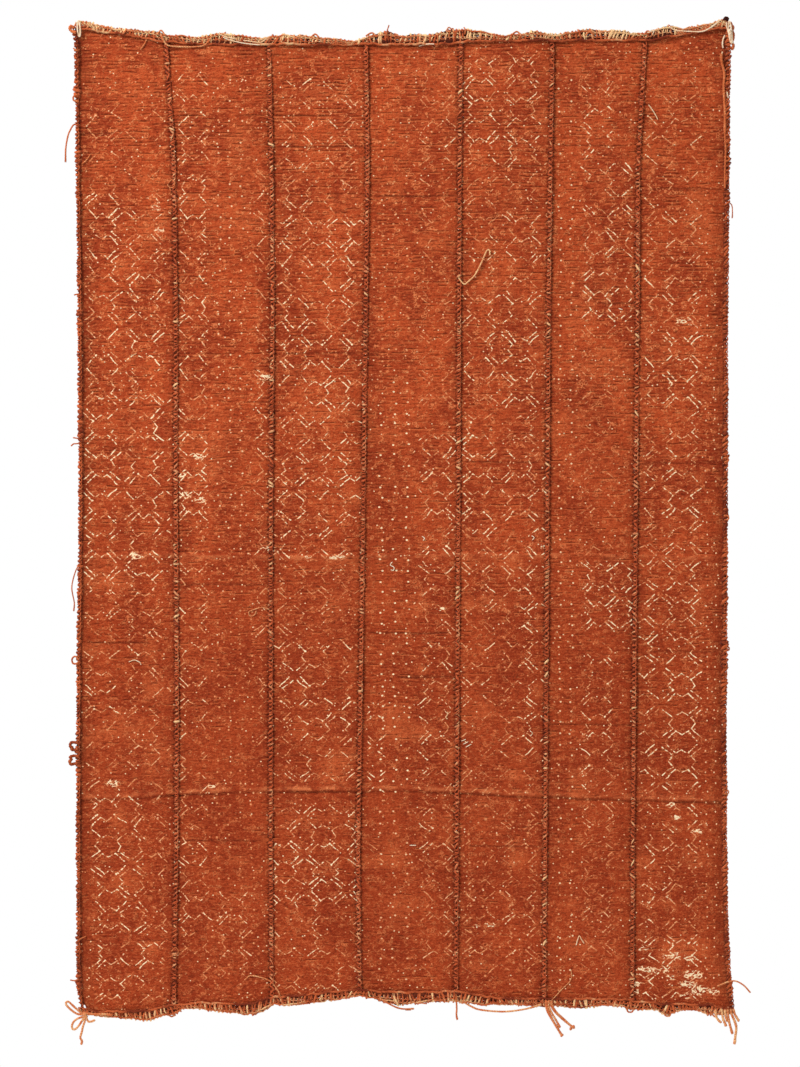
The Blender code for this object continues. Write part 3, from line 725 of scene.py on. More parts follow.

# %% [markdown]
# ## Folds and creases
# The cloth was kept folded, so two creases run right across it, and the corners pull soft wrinkles. They
# are added one by one as ridges and furrows. Each crease's crest is coloured lighter, and a line of
# painted shade lies along its furrow.

# %% Creases
UPPER_FOLD = ((-540, 853), (-440, 851), (-250, 853), (-60, 853), (60, 851), (200, 850), (400, 853),
              (540, 857))
LOWER_FOLD = ((-540, 1249), (-420, 1246), (-330, 1239), (-200, 1235), (0, 1235), (160, 1242), (330, 1249),
              (540, 1255))
FOLD_WANDER = 1.7
FOLD_COLUMNS = ("line", "crest", "furrow", "furrow_below")
FOLD_ROWS = ((UPPER_FOLD, 1.5, -1.6, -5.0), (LOWER_FOLD, 1.4, -1.7, 6.0))
WRINKLE_COLUMNS = ("x_start", "depth_start", "x_end", "depth_end", "height", "half_width")
WRINKLE_ROWS = (
    (404, 42, 440, 24, 1.0, 4), (440, 24, 490, 19, 1.0, 4), (404, 50, 442, 33, -0.9, 3),
    (442, 33, 486, 29, -0.8, 3), (405, 66, 452, 58, 0.8, 4), (410, 90, 520, 84, -0.6, 4),
    (440, 56, 520, 48, 0.6, 5), (-300, 22, -180, 30, 0.8, 7), (-180, 30, -60, 26, -0.7, 8),
    (250, 40, 380, 52, -0.9, 12), (0, 26, 80, 18, -0.8, 5), (522, 480, 522, 1500, -0.5, 2.5),
    (-510, 60, -512, 1500, -0.4, 2.5), (-420, 0, -250, 40, 0.6, 9), (-40, 860, -38, 1100, -0.4, 7),
    (20, 1280, 24, 1520, 0.4, 9), (-250, 900, -245, 1210, -0.4, 8),
)


def bell(away, wide):
    """One at a place, falling softly to none over about this width."""
    return np.exp(-(away / wide) ** 2)


def crease_height(x, depth):
    """Ridges and furrows of the creases and wrinkles, in millimetres, and how much lighter each crease's crest
    is, less the painted shade beside its furrow.
    """
    height, lighter_crest_and_furrow_shade = np.zeros(np.shape(x)), np.zeros(np.shape(x))
    for fold in named(FOLD_COLUMNS, FOLD_ROWS):
        line, side = np.interp(x, *zip(*fold["line"])), fold["furrow_below"]
        down = depth - line - FOLD_WANDER * swell(x, 38, 5)
        uneven = 0.75 + 0.35 * swell(x, 60, 6)
        height += uneven * (fold["crest"] * bell(down, 2.2) + fold["furrow"] * bell(down - side, 2.0))
        broken = np.clip(0.7 + 0.8 * swell(x, 17, 7), 0.15, 1)
        wide = np.where(down * side > 0, 1.9, 5.0)
        lighter_crest_and_furrow_shade = np.maximum(lighter_crest_and_furrow_shade, broken * uneven * bell(down, wide))
        # Painted shade in a line along each crease's furrow.
        lighter_crest_and_furrow_shade -= uneven * bell(down - side * 0.8, 1.6)
    for row in named(WRINKLE_COLUMNS, WRINKLE_ROWS):
        run = np.array([row["x_end"] - row["x_start"], row["depth_end"] - row["depth_start"]], float)
        right, down = x - row["x_start"], depth - row["depth_start"]
        share = np.clip((right * run[0] + down * run[1]) / (run @ run), 0, 1)
        away = np.hypot(right - share * run[0], down - share * run[1])
        height += row["height"] * bell(away, row["half_width"])
    return height, lighter_crest_and_furrow_shade


print("wrinkles:", len(WRINKLE_ROWS))

# %% [markdown]
# ## The seams' stitches, planned first
# A seam pulls the cloth down at each stitch. The stitches are therefore planned before the cloth is made:
# both the yarn and the dimples beside it read the same list of depths.

# %% Stitch plan
STITCH_PITCH = 7.0
UNEVEN_STITCH = 0.24
SEAM_NAMES = [f"seam_{number}" for number in range(1, 7)]
LINE_STEP = 0.012


def centre_line(node):
    """The middle, half width and half thickness of an upright solid at many heights."""
    low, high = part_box(node)
    heights = np.arange(high.z, low.z, -LINE_STEP)
    lows, highs = slice_node(node, 2, heights)
    return {"z": heights, "middle": (lows + highs) / 2, "half": (highs - lows) / 2,
            "top": high.z, "foot": low.z}


def at_height(line, z, part, axis):
    """One measure of such a line at any height."""
    return np.interp(z, line["z"][::-1], line[part][::-1, axis])


def middle_at(line, z):
    """Where the middle of such a line is at any height: across, and in depth."""
    return [at_height(line, z, "middle", axis) for axis in (0, 1)]


def stitch_depths(line, seed, pitch=STITCH_PITCH):
    """Heights of the stitches down a line, unevenly spaced."""
    count = int((line["top"] - line["foot"]) / (pitch * MM))
    even = line["top"] - (np.arange(count) + 0.5) * (line["top"] - line["foot"]) / count
    return even + UNEVEN_STITCH * pitch * MM * draw(np.arange(count), 3, seed)


seam_lines = {name: centre_line(name) for name in SEAM_NAMES}
edge_lines = {name: centre_line(name) for name in ("left_roll", "right_roll")}
stitches = {name: stitch_depths(line, 40 + seed) for seed, (name, line) in enumerate(seam_lines.items())}
print("stitches in each seam:", [len(found) for found in stitches.values()])

# %% [markdown]
# ## The seven strips
# A strip is a thin sheet that follows its solid. Its points are close together down the strip, because
# the ribs of the weave run across, and close together beside the seams, where the stitches pull. The
# solid is coarse, so its front is measured on a rough grid and smoothed before ribs, creases and dimples
# are added.

# %% The front of a strip
FRONT_COLUMNS = 16
FRONT_ROWS = 230
FRONT_INSET = 1.0 * MM


def smooth_front(strip, lefts, rights, heights):
    """The front of a strip's solid on a coarse grid, smoothed, as a function of share across and height."""
    tree = BVHTree.FromObject(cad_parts[f"strip_{strip}"], bpy.context.evaluated_depsgraph_get())
    shares, levels = np.linspace(0, 1, FRONT_COLUMNS), np.linspace(heights[0], heights[-1], FRONT_ROWS)
    left, right = np.interp(levels, heights[::-1], lefts[::-1]), np.interp(levels, heights[::-1], rights[::-1])
    found = np.full((len(levels), len(shares)), np.nan)
    for row, level in enumerate(levels):
        for column, share in enumerate(shares):
            x = left[row] + FRONT_INSET + share * (right[row] - left[row] - 2 * FRONT_INSET)
            hit = tree.ray_cast(Vector((x, -0.2, level)), Vector((0, 1, 0)))[0]
            if hit:
                found[row, column] = hit.y
    for column in found.T:
        known = ~np.isnan(column)
        column[~known] = np.interp(np.flatnonzero(~known), np.flatnonzero(known), column[known])
    for _ in range(2):
        padded = np.pad(found, 1, mode="edge")
        found = (padded[:-2, 1:-1] + padded[2:, 1:-1] + padded[1:-1, :-2] + padded[1:-1, 2:] + 2 * found) / 6

    def front(share, z):
        across = np.clip(share, 0, 1) * (len(shares) - 1)
        down = np.clip((z - levels[0]) / (levels[-1] - levels[0]), 0, 1) * (len(levels) - 1)
        column = np.minimum(across.astype(int), len(shares) - 2)
        row = np.minimum(down.astype(int), len(levels) - 2)
        right_share, low_share = across - column, down - row
        upper = found[row, column] * (1 - right_share) + found[row, column + 1] * right_share
        lower = found[row + 1, column] * (1 - right_share) + found[row + 1, column + 1] * right_share
        return upper * (1 - low_share) + lower * low_share

    return front


print("rays to measure the front of a strip:", FRONT_COLUMNS * FRONT_ROWS)

# %% [markdown]
# ## Rows and columns of points
# A strip's sides and ends are a little wavy, so its rows of points are stretched between the sides of the
# solid, and each column runs from its top to its foot. The selvedges reach under the seams, and the ends
# under the edge rolls.

# %% Outline of a strip
ROW_STEP = 1.85 * MM
SELVEDGE = 4.4 * MM
OUTER_SELVEDGE = 2 * MM
UNDER_ROLL = 4.0 * MM
NEAR_EDGE = np.array([0, 1.2, 2.4, 3.6, 4.8, 6.2, 8, 10.5, 14]) * MM
MIDDLE_STEP = 5.2 * MM


def strip_grid(strip):
    """Rows and columns of points that fill a strip's outline, with the share across of each column."""
    low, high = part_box(f"strip_{strip}")
    heights = np.linspace(high.z, low.z, 140)
    lows, highs = slice_node(f"strip_{strip}", 2, heights)
    middle = slice(3, -2)
    lefts, rights = (np.interp(-heights, -heights[middle], side[middle, 0]) for side in (lows, highs))
    edge_x = np.linspace(lefts.max() + MM, rights.min() - MM, 30)
    feet, tops = slice_node(f"strip_{strip}", 0, edge_x)
    width = float(np.mean(rights - lefts))
    outside = [OUTER_SELVEDGE if strip == outer else SELVEDGE for outer in (1, 7)]
    inner = np.arange(NEAR_EDGE[-1] + MIDDLE_STEP, width - NEAR_EDGE[-1] - 0.5 * MIDDLE_STEP, MIDDLE_STEP)
    sides = [-outside[0] + NEAR_EDGE, inner, (width + outside[1] - NEAR_EDGE)[::-1]]
    shares = np.concatenate(sides) / width
    count = int((high.z - low.z) / ROW_STEP)
    down = np.linspace(0, 1, count)[:, None]
    nominal = np.mean(lefts) + shares * width
    upper_z, lower_z = np.interp(nominal, edge_x, tops[:, 2]), np.interp(nominal, edge_x, feet[:, 2])
    z = (upper_z + UNDER_ROLL) * (1 - down) + (lower_z - UNDER_ROLL) * down
    left, right = np.interp(-z, -heights, lefts), np.interp(-z, -heights, rights)
    return {"x": left + shares * (right - left), "z": z, "share": np.broadcast_to(shares, z.shape),
            "front": smooth_front(strip, lefts, rights, heights), "outside": outside,
            "length": high.z - low.z, "width": width + sum(outside)}


print("columns of points beside each seam:", len(NEAR_EDGE))

# %% [markdown]
# ## Dimples beside the seams
# Each stitch pulls a small hole into the cloth on either side of its seam, with a faint pucker that runs
# out from it. Dirt and shadow gather there, so the same bells also give a painted shade. A seam's painted
# shade is stronger where the hand pulled. The cloth beside each edge roll gets a painted shade as well.

# %% Pull of the stitches
HOLE_AWAY = 4.5
PUCKER_AWAY = 6.0
DARKEST = 0.92


def to_nearest(spots, z):
    """The distance from each height to the nearest stitch."""
    after = np.searchsorted(-spots, -z)[..., None] + [-1, 0]
    return np.abs(z[..., None] - spots[np.clip(after, 0, len(spots) - 1)]).min(-1)


def seam_pull(strip, x, z):
    """Depth of the dimples beside the seams, and the painted shade in them and beside the edge rolls."""
    dimple, painted_shade_and_dark_tone = np.zeros(z.shape), np.zeros(z.shape)
    for name in ["left_roll", *SEAM_NAMES, "right_roll"][strip - 1:strip + 1]:
        if name in seam_lines:
            away = np.abs(x - at_height(seam_lines[name], z, "middle", 0)) / MM
            down = to_nearest(stitches[name], z) / MM
            hole = bell(away - HOLE_AWAY, 1.6) * bell(down, 1.3)
            pucker = bell(away - PUCKER_AWAY, 6) * bell(down, 1.0)
            dimple += 0.9 * hole + 0.4 * pucker + 1.6 * bell(away, 2.6)
            pulled = 0.65 + 0.7 * swell(z, 0.05, 11 + strip)
            # Painted shade in each stitch's hole and pucker, and in a band along the seam.
            painted_shade_and_dark_tone += (0.95 * hole + 0.3 * pucker + 0.10 * bell(away, 5.0)) * pulled + 0.10 * bell(away, 15)
        else:
            line = edge_lines[name]
            inward = 1 if name == "left_roll" else -1
            inner_side = at_height(line, z, "middle", 0) + inward * at_height(line, z, "half", 0)
            away = np.abs(x - inner_side) / MM
            # Painted shade on the cloth along the inner side of the edge roll.
            painted_shade_and_dark_tone += 0.26 * bell(away, 2.2) + 0.28 * bell(away, 17)
    return dimple, np.clip(painted_shade_and_dark_tone, 0, DARKEST)


print("a stitch's hole lies", HOLE_AWAY, "mm from the middle of its seam")

# %% [markdown]
# ## Ribs and slubs
# Hand-spun weft makes each strip ribbed from side to side, more in the upper half, where the cloth is
# less worn. A rib isn't straight, so the height of a point is bent by soft hills before it is counted in
# ribs.

# %% Ribs of the weave
RIB_PITCH = 5.7


def rib_rows(strip, x, z):
    """The place in ribs, counted down the cloth: a whole number is a groove."""
    lifted = z / MM + 2.0 * hills(x, z, 0.06, 0.05, 21 + strip) + 0.9 * hills(x, z, 0.015, 0.02, 27 + strip)
    return lifted / (RIB_PITCH * (1 + 0.04 * draw(strip, 3, 9))) + 700


def rib_height(strip, x, z, rows):
    """The ribs and slubs of the weave, from -1 to 1: strong in the upper half and softer below."""
    strong = 0.55 + 0.45 * np.clip((1.0 + z) / 0.4, 0, 1)
    line = np.round(rows)
    away = (rows - line) * RIB_PITCH
    deep = np.clip(0.22 + 0.9 * hills(x, line, 0.03, 1.0, 23 + strip), 0, 1)
    groove = -1.1 * deep * bell(away, 1.1) + 0.25 * deep
    fine = hills(x, z, 0.016, 0.0040, 22 + strip)
    return strong * (groove + 0.5 * fine * np.clip(0.6 + hills(x, z, 0.09, 0.06, 25 + strip), 0.2, 1.3))


print("ribs down the cloth:", round((cad_high.z - cad_low.z) / MM / RIB_PITCH))

# %% [markdown]
# ## Weft threads that lie deep
# A few weft threads were beaten in harder and lie deeper, as thin lines across part of a strip, with
# painted shade along each. There are too few of them for a rule, so they are a short table of places in
# millimetres.

# %% Deep threads
BAR_FADE = 8
BAR_COLUMNS = ("x_start", "x_end", "depth", "strength")
BAR_ROWS = (
    (-531, -474, 160, 1.0), (-375, -334, 130, 0.9), (-274, -243, 130, 0.9), (-213, -119, 130, 1.0),
    (-205, -60, 181, 0.9), (-48, 92, 263, 1.0), (98, 180, 335, 0.8), (120, 236, 214, 0.7),
    (320, 388, 438, 1.0), (-56, 80, 980, 1.0), (-517, -412, 996, 1.0), (-12, 88, 1052, 1.0),
    (-500, -380, 420, 0.6), (-360, -230, 300, 0.6), (400, 520, 250, 0.8), (-200, -70, 520, 0.6),
    (100, 230, 700, 0.6), (250, 370, 180, 0.7), (390, 520, 700, 0.6), (-370, -220, 900, 0.7),
    (-370, -225, 1320, 0.7), (-210, -70, 1180, 0.6), (240, 380, 1130, 0.7), (400, 520, 1010, 0.6),
    (100, 230, 1330, 0.6),
)


def weft_bars(x, depth):
    """One on the few weft threads that lie deeper than the rest, from a table."""
    found = np.zeros(np.shape(x))
    for row in named(BAR_COLUMNS, BAR_ROWS):
        inside = np.clip((x - row["x_start"]) / BAR_FADE, 0, 1) * np.clip((row["x_end"] - x) / BAR_FADE, 0, 1)
        away = depth - row["depth"] - 1.5 * swell(x, 45, 19)
        found = np.maximum(found, row["strength"] * inside * bell(away, 1.3))
    return found


print("deep weft threads:", len(BAR_ROWS))

# %% [markdown]
# ## One sheet for each strip
# Now the parts are added up: the smoothed front of the solid, less the creases and ribs that stand
# forward, plus the dimples that go back. The numbers that the finish needs are stored at the same points,
# and each sheet says how long and wide it is when laid flat.

# %% Strip sheets
BEHIND_FRONT = 0.6
FLECK_CELL = (9.0, 8.0)
CREAM_PLACE = (-100, 853)
DARKER_FROM = 560
DARKER_OVER = 500
RIB_DEPTH = 0.5


def strip_sheet(strip):
    """One strip of dyed cloth."""
    grid = strip_grid(strip)
    x, z = grid["x"], grid["z"]
    depth = -z / MM
    crease, lighter_crest_and_furrow_shade = crease_height(x / MM, depth)
    dimple, painted_shade_and_dark_tone = seam_pull(strip, x, z)
    rows_of_ribs = rib_rows(strip, x, z)
    bars = weft_bars(x / MM, depth)
    rib = rib_height(strip, x, z, rows_of_ribs) - 1.2 * bars
    soft = 0.5 * hills(x, z, 0.035, 0.05, 31 + strip) + 0.25 * hills(x, z, 0.012, 0.014, 32 + strip)
    y = grid["front"](grid["share"], z) + MM * (BEHIND_FRONT - crease - soft - RIB_DEPTH * rib + dimple)
    points = joined(x, y, z)
    rows, columns = z.shape
    first = (np.arange(rows - 1)[:, None] * columns + np.arange(columns - 1)).ravel()
    faces = np.stack([first, first + columns, first + columns + 1, first + 1], 1).tolist()
    # Painted shadow on the cloth just under the top roll and just above the bottom roll.
    painted_shadow_at_ends = np.exp(-np.abs(z - z[0]) / (9 * MM)) * 0.4
    painted_shadow_at_ends = painted_shadow_at_ends + np.exp(-np.abs(z - z[-1]) / (5 * MM)) * 0.35
    patch = np.clip(hills(x, z, 0.05, 0.035, 33 + strip) * 1.5 - 0.55, 0, 1)
    cream = np.clip(1.3 - np.abs(x / MM - CREAM_PLACE[0]) / 70, 0, 1) * (np.abs(depth - CREAM_PLACE[1]) < 14)
    cream = np.clip(lighter_crest_and_furrow_shade, 0, 1) * cream
    stored = {
        "motif": motif_places(strip, x / MM, depth), "dots": dot_places(strip, x / MM, depth),
        "flecks": np.stack([x / MM / FLECK_CELL[0], depth / FLECK_CELL[1], np.full(z.shape, 1.0)], -1),
        # Painted shade: beside seams and rolls, near both ends, along crease furrows and along deep weft
        # threads.
        "relief": np.stack([rib, np.clip(painted_shade_and_dark_tone + painted_shadow_at_ends + np.clip(-lighter_crest_and_furrow_shade, 0, 1) * 0.7 + 0.5 * bars, 0, 0.94),
                            np.clip(lighter_crest_and_furrow_shade, 0, 1)], -1),
        "weave": np.stack([rows_of_ribs, x / 0.017, np.clip(1.1 + z * 0.7, 0.2, 1)], -1),
        "patches": np.stack([patch, np.maximum(blotch_share(x / MM, depth), cream),
                             np.clip((depth - DARKER_FROM) / DARKER_OVER, 0, 1)], -1),
    }
    made = mesh_piece(f"cloth_strip_{strip}", points, faces, "cloth", stored)
    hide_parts(f"strip_{strip}")
    flat = [round(grid[side] / MM) for side in ("width", "length")]
    print(f"{made.name}: {rows} x {columns} points, {flat[0]} x {flat[1]} mm when flat")
    return made


strips = [strip_sheet(number) for number in range(1, 8)]

# %% [markdown]
# ## The seams
# The strips are whipped together: the yarn goes over the seam, through both edges and over again. Seen
# from the front that is a row of short slanting strokes. One long line with a few points for each pass is
# bent into that path, and a thinner core, dark as painted shade, fills the gap between the two selvedges.

# %% Whipped seams
WHIP_TURNS = np.array([0.06, 0.22, 0.38, 0.5, 0.62, 0.78, 0.94, 1.25, 1.5, 1.75]) * math.pi
CREAM_ABOVE = 0.9


def whip(line, spots, seed, wide, lift, back, radius, lean):
    """The path of a yarn whipped down a line, with its radius, tone and outward direction at each point."""
    count = len(spots)
    order = np.arange(count)
    pitch = np.append(spots[:-1] - spots[1:], STITCH_PITCH * MM)
    hand = np.where(swell(spots, 0.11, seed) + 1.1 * draw(order, 8, seed) > lean, -1.0, 1.0)
    turns = WHIP_TURNS
    reach = wide * (1 + 0.34 * draw(order, 1, seed))
    rise = lift * (1 + 0.35 * draw(order, 2, seed))
    slant = pitch * (0.85 + 1.0 * draw(order, 4, seed))
    share = np.clip(turns / math.pi, 0, 1)
    behind = np.clip(turns / math.pi - 1, 0, 1)
    z = spots[:, None] + slant[:, None] * (0.5 - share) - pitch[:, None] * behind * 0.5
    front = np.sin(turns) > 0
    aside = hand[:, None] * reach[:, None] * np.cos(turns)
    ahead = np.where(front, rise[:, None] * np.abs(np.sin(turns)) ** 0.6, -back * np.abs(np.sin(turns)))
    middle_x, middle_y = middle_at(line, z)
    path = joined(middle_x + aside, middle_y - ahead, z)
    outward = joined(aside / wide, -ahead / lift, 0.0) + 1e-6
    thick = radius * (1 + 0.3 * draw(order, 5, seed))
    thick = np.repeat(thick, len(turns)) * np.tile(np.where(front, 1.0, 0.85), count)
    tone = 0.52 + 0.26 * draw(order, 6, seed) + 0.45 * (draw(order, 7, seed) > CREAM_ABOVE)
    # Each pass is darker towards its sides, and painted shade lies where it turns into the cloth and behind the
    # seam.
    tone = np.repeat(tone, len(turns)) - np.tile(0.2 * np.abs(np.cos(turns)) ** 2, count)
    painted_shade_and_dark_tone = np.tile(np.where(front, 0.5 * np.abs(np.cos(turns)) ** 4, 0.3), count)
    return path, outward, thick, tone, painted_shade_and_dark_tone


print("points in one whip stitch:", len(WHIP_TURNS))

# %% [markdown]
# ## A yarn that wanders
# A thinner end of yarn lies along most seams and edges. It curls round its own line and dips under the
# stitches here and there, which breaks up the even row.

# %% Wandering yarn
CURL_PITCH = 7.2 * MM
CURL_RADIUS = 1.05 * MM


def curled(line, seed, wide, lift, tone=0.5, aside=0.0):
    """A thin yarn that curls down a line and dips under the stitches here and there, in millimetres."""
    run = np.arange(line["top"] - 3 * MM, line["foot"] + 3 * MM, -1.3 * MM)
    turn = run / CURL_PITCH * 2 * math.pi + 3.5 * swell(run, 0.02, seed + 20)
    hidden = np.clip(2.6 * swell(run, 0.03, seed + 21) + 0.3, -0.6, 2.2)
    x, y = middle_at(line, run)
    route = joined(x + MM * (aside + wide * np.cos(turn)), y - MM * (lift - hidden - 0.6 * np.sin(turn)),
                   run + 2.3 * MM * np.sin(turn))
    return tube(route, CURL_RADIUS, FORWARD, tone + 0.28 * swell(run, 0.02, seed + 22), 0.05, sides=4)


print("a curl is", round(CURL_PITCH / MM, 1), "mm long")

# %% [markdown]
# ## Six whipped seams
# Each seam is one piece: the stitches, the core between the selvedges, dark as painted shade, and the
# wandering yarn over them.

# %% Seams
SEAM_REACH = 3.4 * MM
SEAM_LIFT = 1.9 * MM
SEAM_BACK = 1.8 * MM
SEAM_RADIUS = 1.45 * MM
SEAM_CORE = 1.8 * MM
CORE_PLACES = 330


def seam_piece(name, seed):
    """The stitches of one seam and the core under them."""
    line, spots = seam_lines[name], stitches[name]
    sewn = whip(line, spots, seed, SEAM_REACH, SEAM_LIFT, SEAM_BACK, SEAM_RADIUS, 0.1)
    path, outward, thick, tone, painted_shade_and_dark_tone = sewn
    heights = np.linspace(line["top"], line["foot"], CORE_PLACES)
    x, y = middle_at(line, heights)
    # The core is a dark tube of painted shade in the gap between the selvedges.
    shadow_core = joined(x + 0.7 * MM * swell(heights, 0.012, seed), y + 0.8 * MM, heights)
    tubes = [tube(path, thick, outward, tone, painted_shade_and_dark_tone), tube(shadow_core, SEAM_CORE, FORWARD, 0.2, 0.5, sides=6),
             curled(line, seed, 2.9, 1.5)]
    return yarn_piece(f"{name}_stitches", tubes, "seam_yarn", name)


seams = [seam_piece(name, 50 + seed) for seed, name in enumerate(SEAM_NAMES)]

# %% [markdown]
# ## The overcast edges
# All round, the cloth's edge is covered by yarn that goes over it again and again. Down the sides it is
# one close row of rust loops. Along the top and the bottom it is thicker and untidy: rust and cream loops
# of different heights, with loose cords caught under some of them. The roll's solid gives the room, and
# the loops are wound round its middle.

# %% Overcast sides
SIDE_PITCH = 7.6
SIDE_RADIUS = 2.15 * MM
SIDE_CORE = 2.2 * MM
CORE_INWARD = 0.5 * MM
BOW_TOP = -1.552


def side_overcast(name, seed):
    """Loops over the left or the right edge."""
    line = edge_lines[name]
    outward_x = -1.0 if name == "left_roll" else 1.0
    spots = stitch_depths(line, seed, SIDE_PITCH)
    core_line = {**line, "middle": line["middle"] - np.array([outward_x * CORE_INWARD, 0, 0])}
    order = np.arange(len(spots))
    turns = np.linspace(0, 2 * math.pi, 11)[:-1]
    pitch = np.append(spots[:-1] - spots[1:], SIDE_PITCH * MM)
    lump = np.clip(swell(spots, 0.012, seed + 3), -0.3, 1)
    reach = at_height(line, spots, "half", 0) * (0.80 + 0.28 * draw(order, 1, seed) + 0.5 * lump)
    thick = at_height(line, spots, "half", 1) * (0.85 + 0.15 * draw(order, 2, seed)) - 0.5 * MM
    if name == "left_roll":
        # The loops are smaller beside the bow, so that they don't run into its strands.
        reach = reach * (1 - 0.4 * np.clip((BOW_TOP - spots) / 0.01, 0, 1))
    tilt = (1.2 + 2.6 * draw(order, 5, seed))[:, None] * MM
    z = spots[:, None] - pitch[:, None] * (turns / (2 * math.pi)) + tilt * np.cos(turns) * outward_x
    x, y = middle_at(core_line, z)
    path = joined(x + outward_x * reach[:, None] * np.cos(turns), y - thick[:, None] * np.sin(turns), z)
    away = joined(outward_x * np.cos(turns), -np.sin(turns), z * 0)
    radius = np.repeat(SIDE_RADIUS * (1 + 0.26 * draw(order, 3, seed) + 0.25 * lump), len(turns))
    tone = np.repeat(0.24 + 0.24 * draw(order, 4, seed) + 0.12 * lump, len(turns))
    # Painted shade on the inner side of each loop, towards the cloth.
    painted_shade_and_dark_tone = np.tile(np.clip(-np.cos(turns), 0, 1) ** 3 * 0.5, len(spots))
    # The core is a dark tube of painted shade between the loops.
    shadow_core = joined(*core_line["middle"].T[:2], line["z"])
    tubes = [tube(path, radius, away, tone, painted_shade_and_dark_tone), tube(shadow_core, SIDE_CORE, FORWARD, 0.2, 0.52, sides=6),
             curled(core_line, seed, 3.1, 3.2, 0.32, 1.0 * outward_x)]
    return yarn_piece(name.replace("roll", "overcast"), tubes, "edge_yarn", name)


sides = [side_overcast("left_roll", 61), side_overcast("right_roll", 62)]

# %% [markdown]
# ## The top and the bottom edge
# Here the overcasting is thick and untidy, because the yarn also catches the cut ends of the warp. Rust
# and cream loops of different heights go round two cores, two cords lie along them, and two thin yarns
# curl over the whole.

# %% Overcast ends
END_PITCH = 5.9
END_RADIUS = 1.5 * MM


def end_edge(node, seed, inner_reach):
    """The loops' places along a roll that runs across the cloth, and how far each reaches from it."""
    low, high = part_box(node)
    places = np.arange(low.x + 1 * MM, high.x - 1 * MM, 4 * MM)
    lows, highs = slice_node(node, 0, places)
    up = 1.0 if node == "top_roll" else -1.0
    count = int((high.x - low.x) / (END_PITCH * MM))
    order = np.arange(count)
    spots = low.x + (order + 0.5) * (high.x - low.x) / count
    spots = spots + 0.45 * END_PITCH * MM * draw(order, 0, seed)
    outer = np.interp(spots, places, (highs if up > 0 else lows)[:, 2])
    inner = np.interp(spots, places, (lows if up > 0 else highs)[:, 2]) - up * inner_reach * MM
    return {"from": low.x, "to": high.x, "up": up, "order": order, "spots": spots,
            "inner": inner - up * 1.6 * MM * draw(order, 1, seed),
            "outer": outer - up * (0.8 * MM + 1.3 * MM * (1 + draw(order, 2, seed))),
            "y_middle": np.interp(spots, places, (lows[:, 1] + highs[:, 1]) / 2),
            "y_half": np.interp(spots, places, (highs[:, 1] - lows[:, 1]) / 2) + 0.7 * MM}


def end_loops(edge, seed, cream_share):
    """Loops over the top or the bottom edge, in rust and cream."""
    order, spots, outer, inner = (edge[part] for part in ("order", "spots", "outer", "inner"))
    turns = np.linspace(0, 2 * math.pi, 13)[:-1]
    tilt = (1.6 + 4.2 * swell(spots, 0.022, seed + 1) + 2.2 * draw(order, 8, seed)) * MM
    x = spots[:, None] + tilt[:, None] * np.cos(turns) + END_PITCH * MM * (turns / (2 * math.pi) - 0.5)
    z = ((outer + inner) / 2)[:, None] + ((outer - inner) / 2)[:, None] * np.cos(turns)
    thick = edge["y_half"] * (1 + 0.2 * draw(order, 3, seed))
    y = edge["y_middle"][:, None] - thick[:, None] * np.sin(turns)
    corner = order[:, None] * len(turns) + np.arange(len(turns))
    x, z = (side + 0.75 * MM * draw(corner, kind, seed) for kind, side in ((9, x), (10, z)))
    away = joined(x * 0, -np.sin(turns), edge["up"] * np.cos(turns))
    radius = np.repeat(END_RADIUS * (1 + 0.35 * draw(order, 4, seed)), len(turns))
    pale = 0.8 * swell(spots, 0.016, seed + 2) + 0.7 * draw(order, 5, seed)
    plain = 0.48 + 0.28 * draw(order, 6, seed)
    tone = np.repeat(np.where(pale > 1.0 - 2.0 * cream_share, 0.92, plain), len(turns))
    # The tone is a little lighter on the outer side of each loop, and painted shade lies on its inner side,
    # towards the cloth.
    tone = tone + np.tile(0.18 * np.cos(turns), len(order))
    painted_shade_and_dark_tone = np.tile(np.clip(-np.cos(turns), 0, 1) ** 3 * 0.4, len(order))
    return tube(joined(x, y, z), radius, away, tone, painted_shade_and_dark_tone)


print("loops over the top edge:", len(end_edge("top_roll", 71, 2.0)["order"]))

# %% [markdown]
# ## Cords and curls along the ends
# Two cords lie along the loops, one near the outer side and one near the cloth. Two thin yarns curl over
# them, and two cores, dark as painted shade, fill the roll, so that no light comes through between the loops.

# %% Cords along the ends
CORD_COLUMNS = ("share", "back", "tone", "radius", "waves")
CORD_ROWS = ((0.84, -0.3, 0.66, 1.3, 0.16), (0.03, 0.6, 0.42, 2.0, 0.06))
OVER_COLUMNS = ("share", "tone")
OVER_ROWS = ((0.80, 0.80), (0.45, 0.62))
OVER_PITCH = 6.3 * MM
CORE_SHARES = (0.26, 0.74)


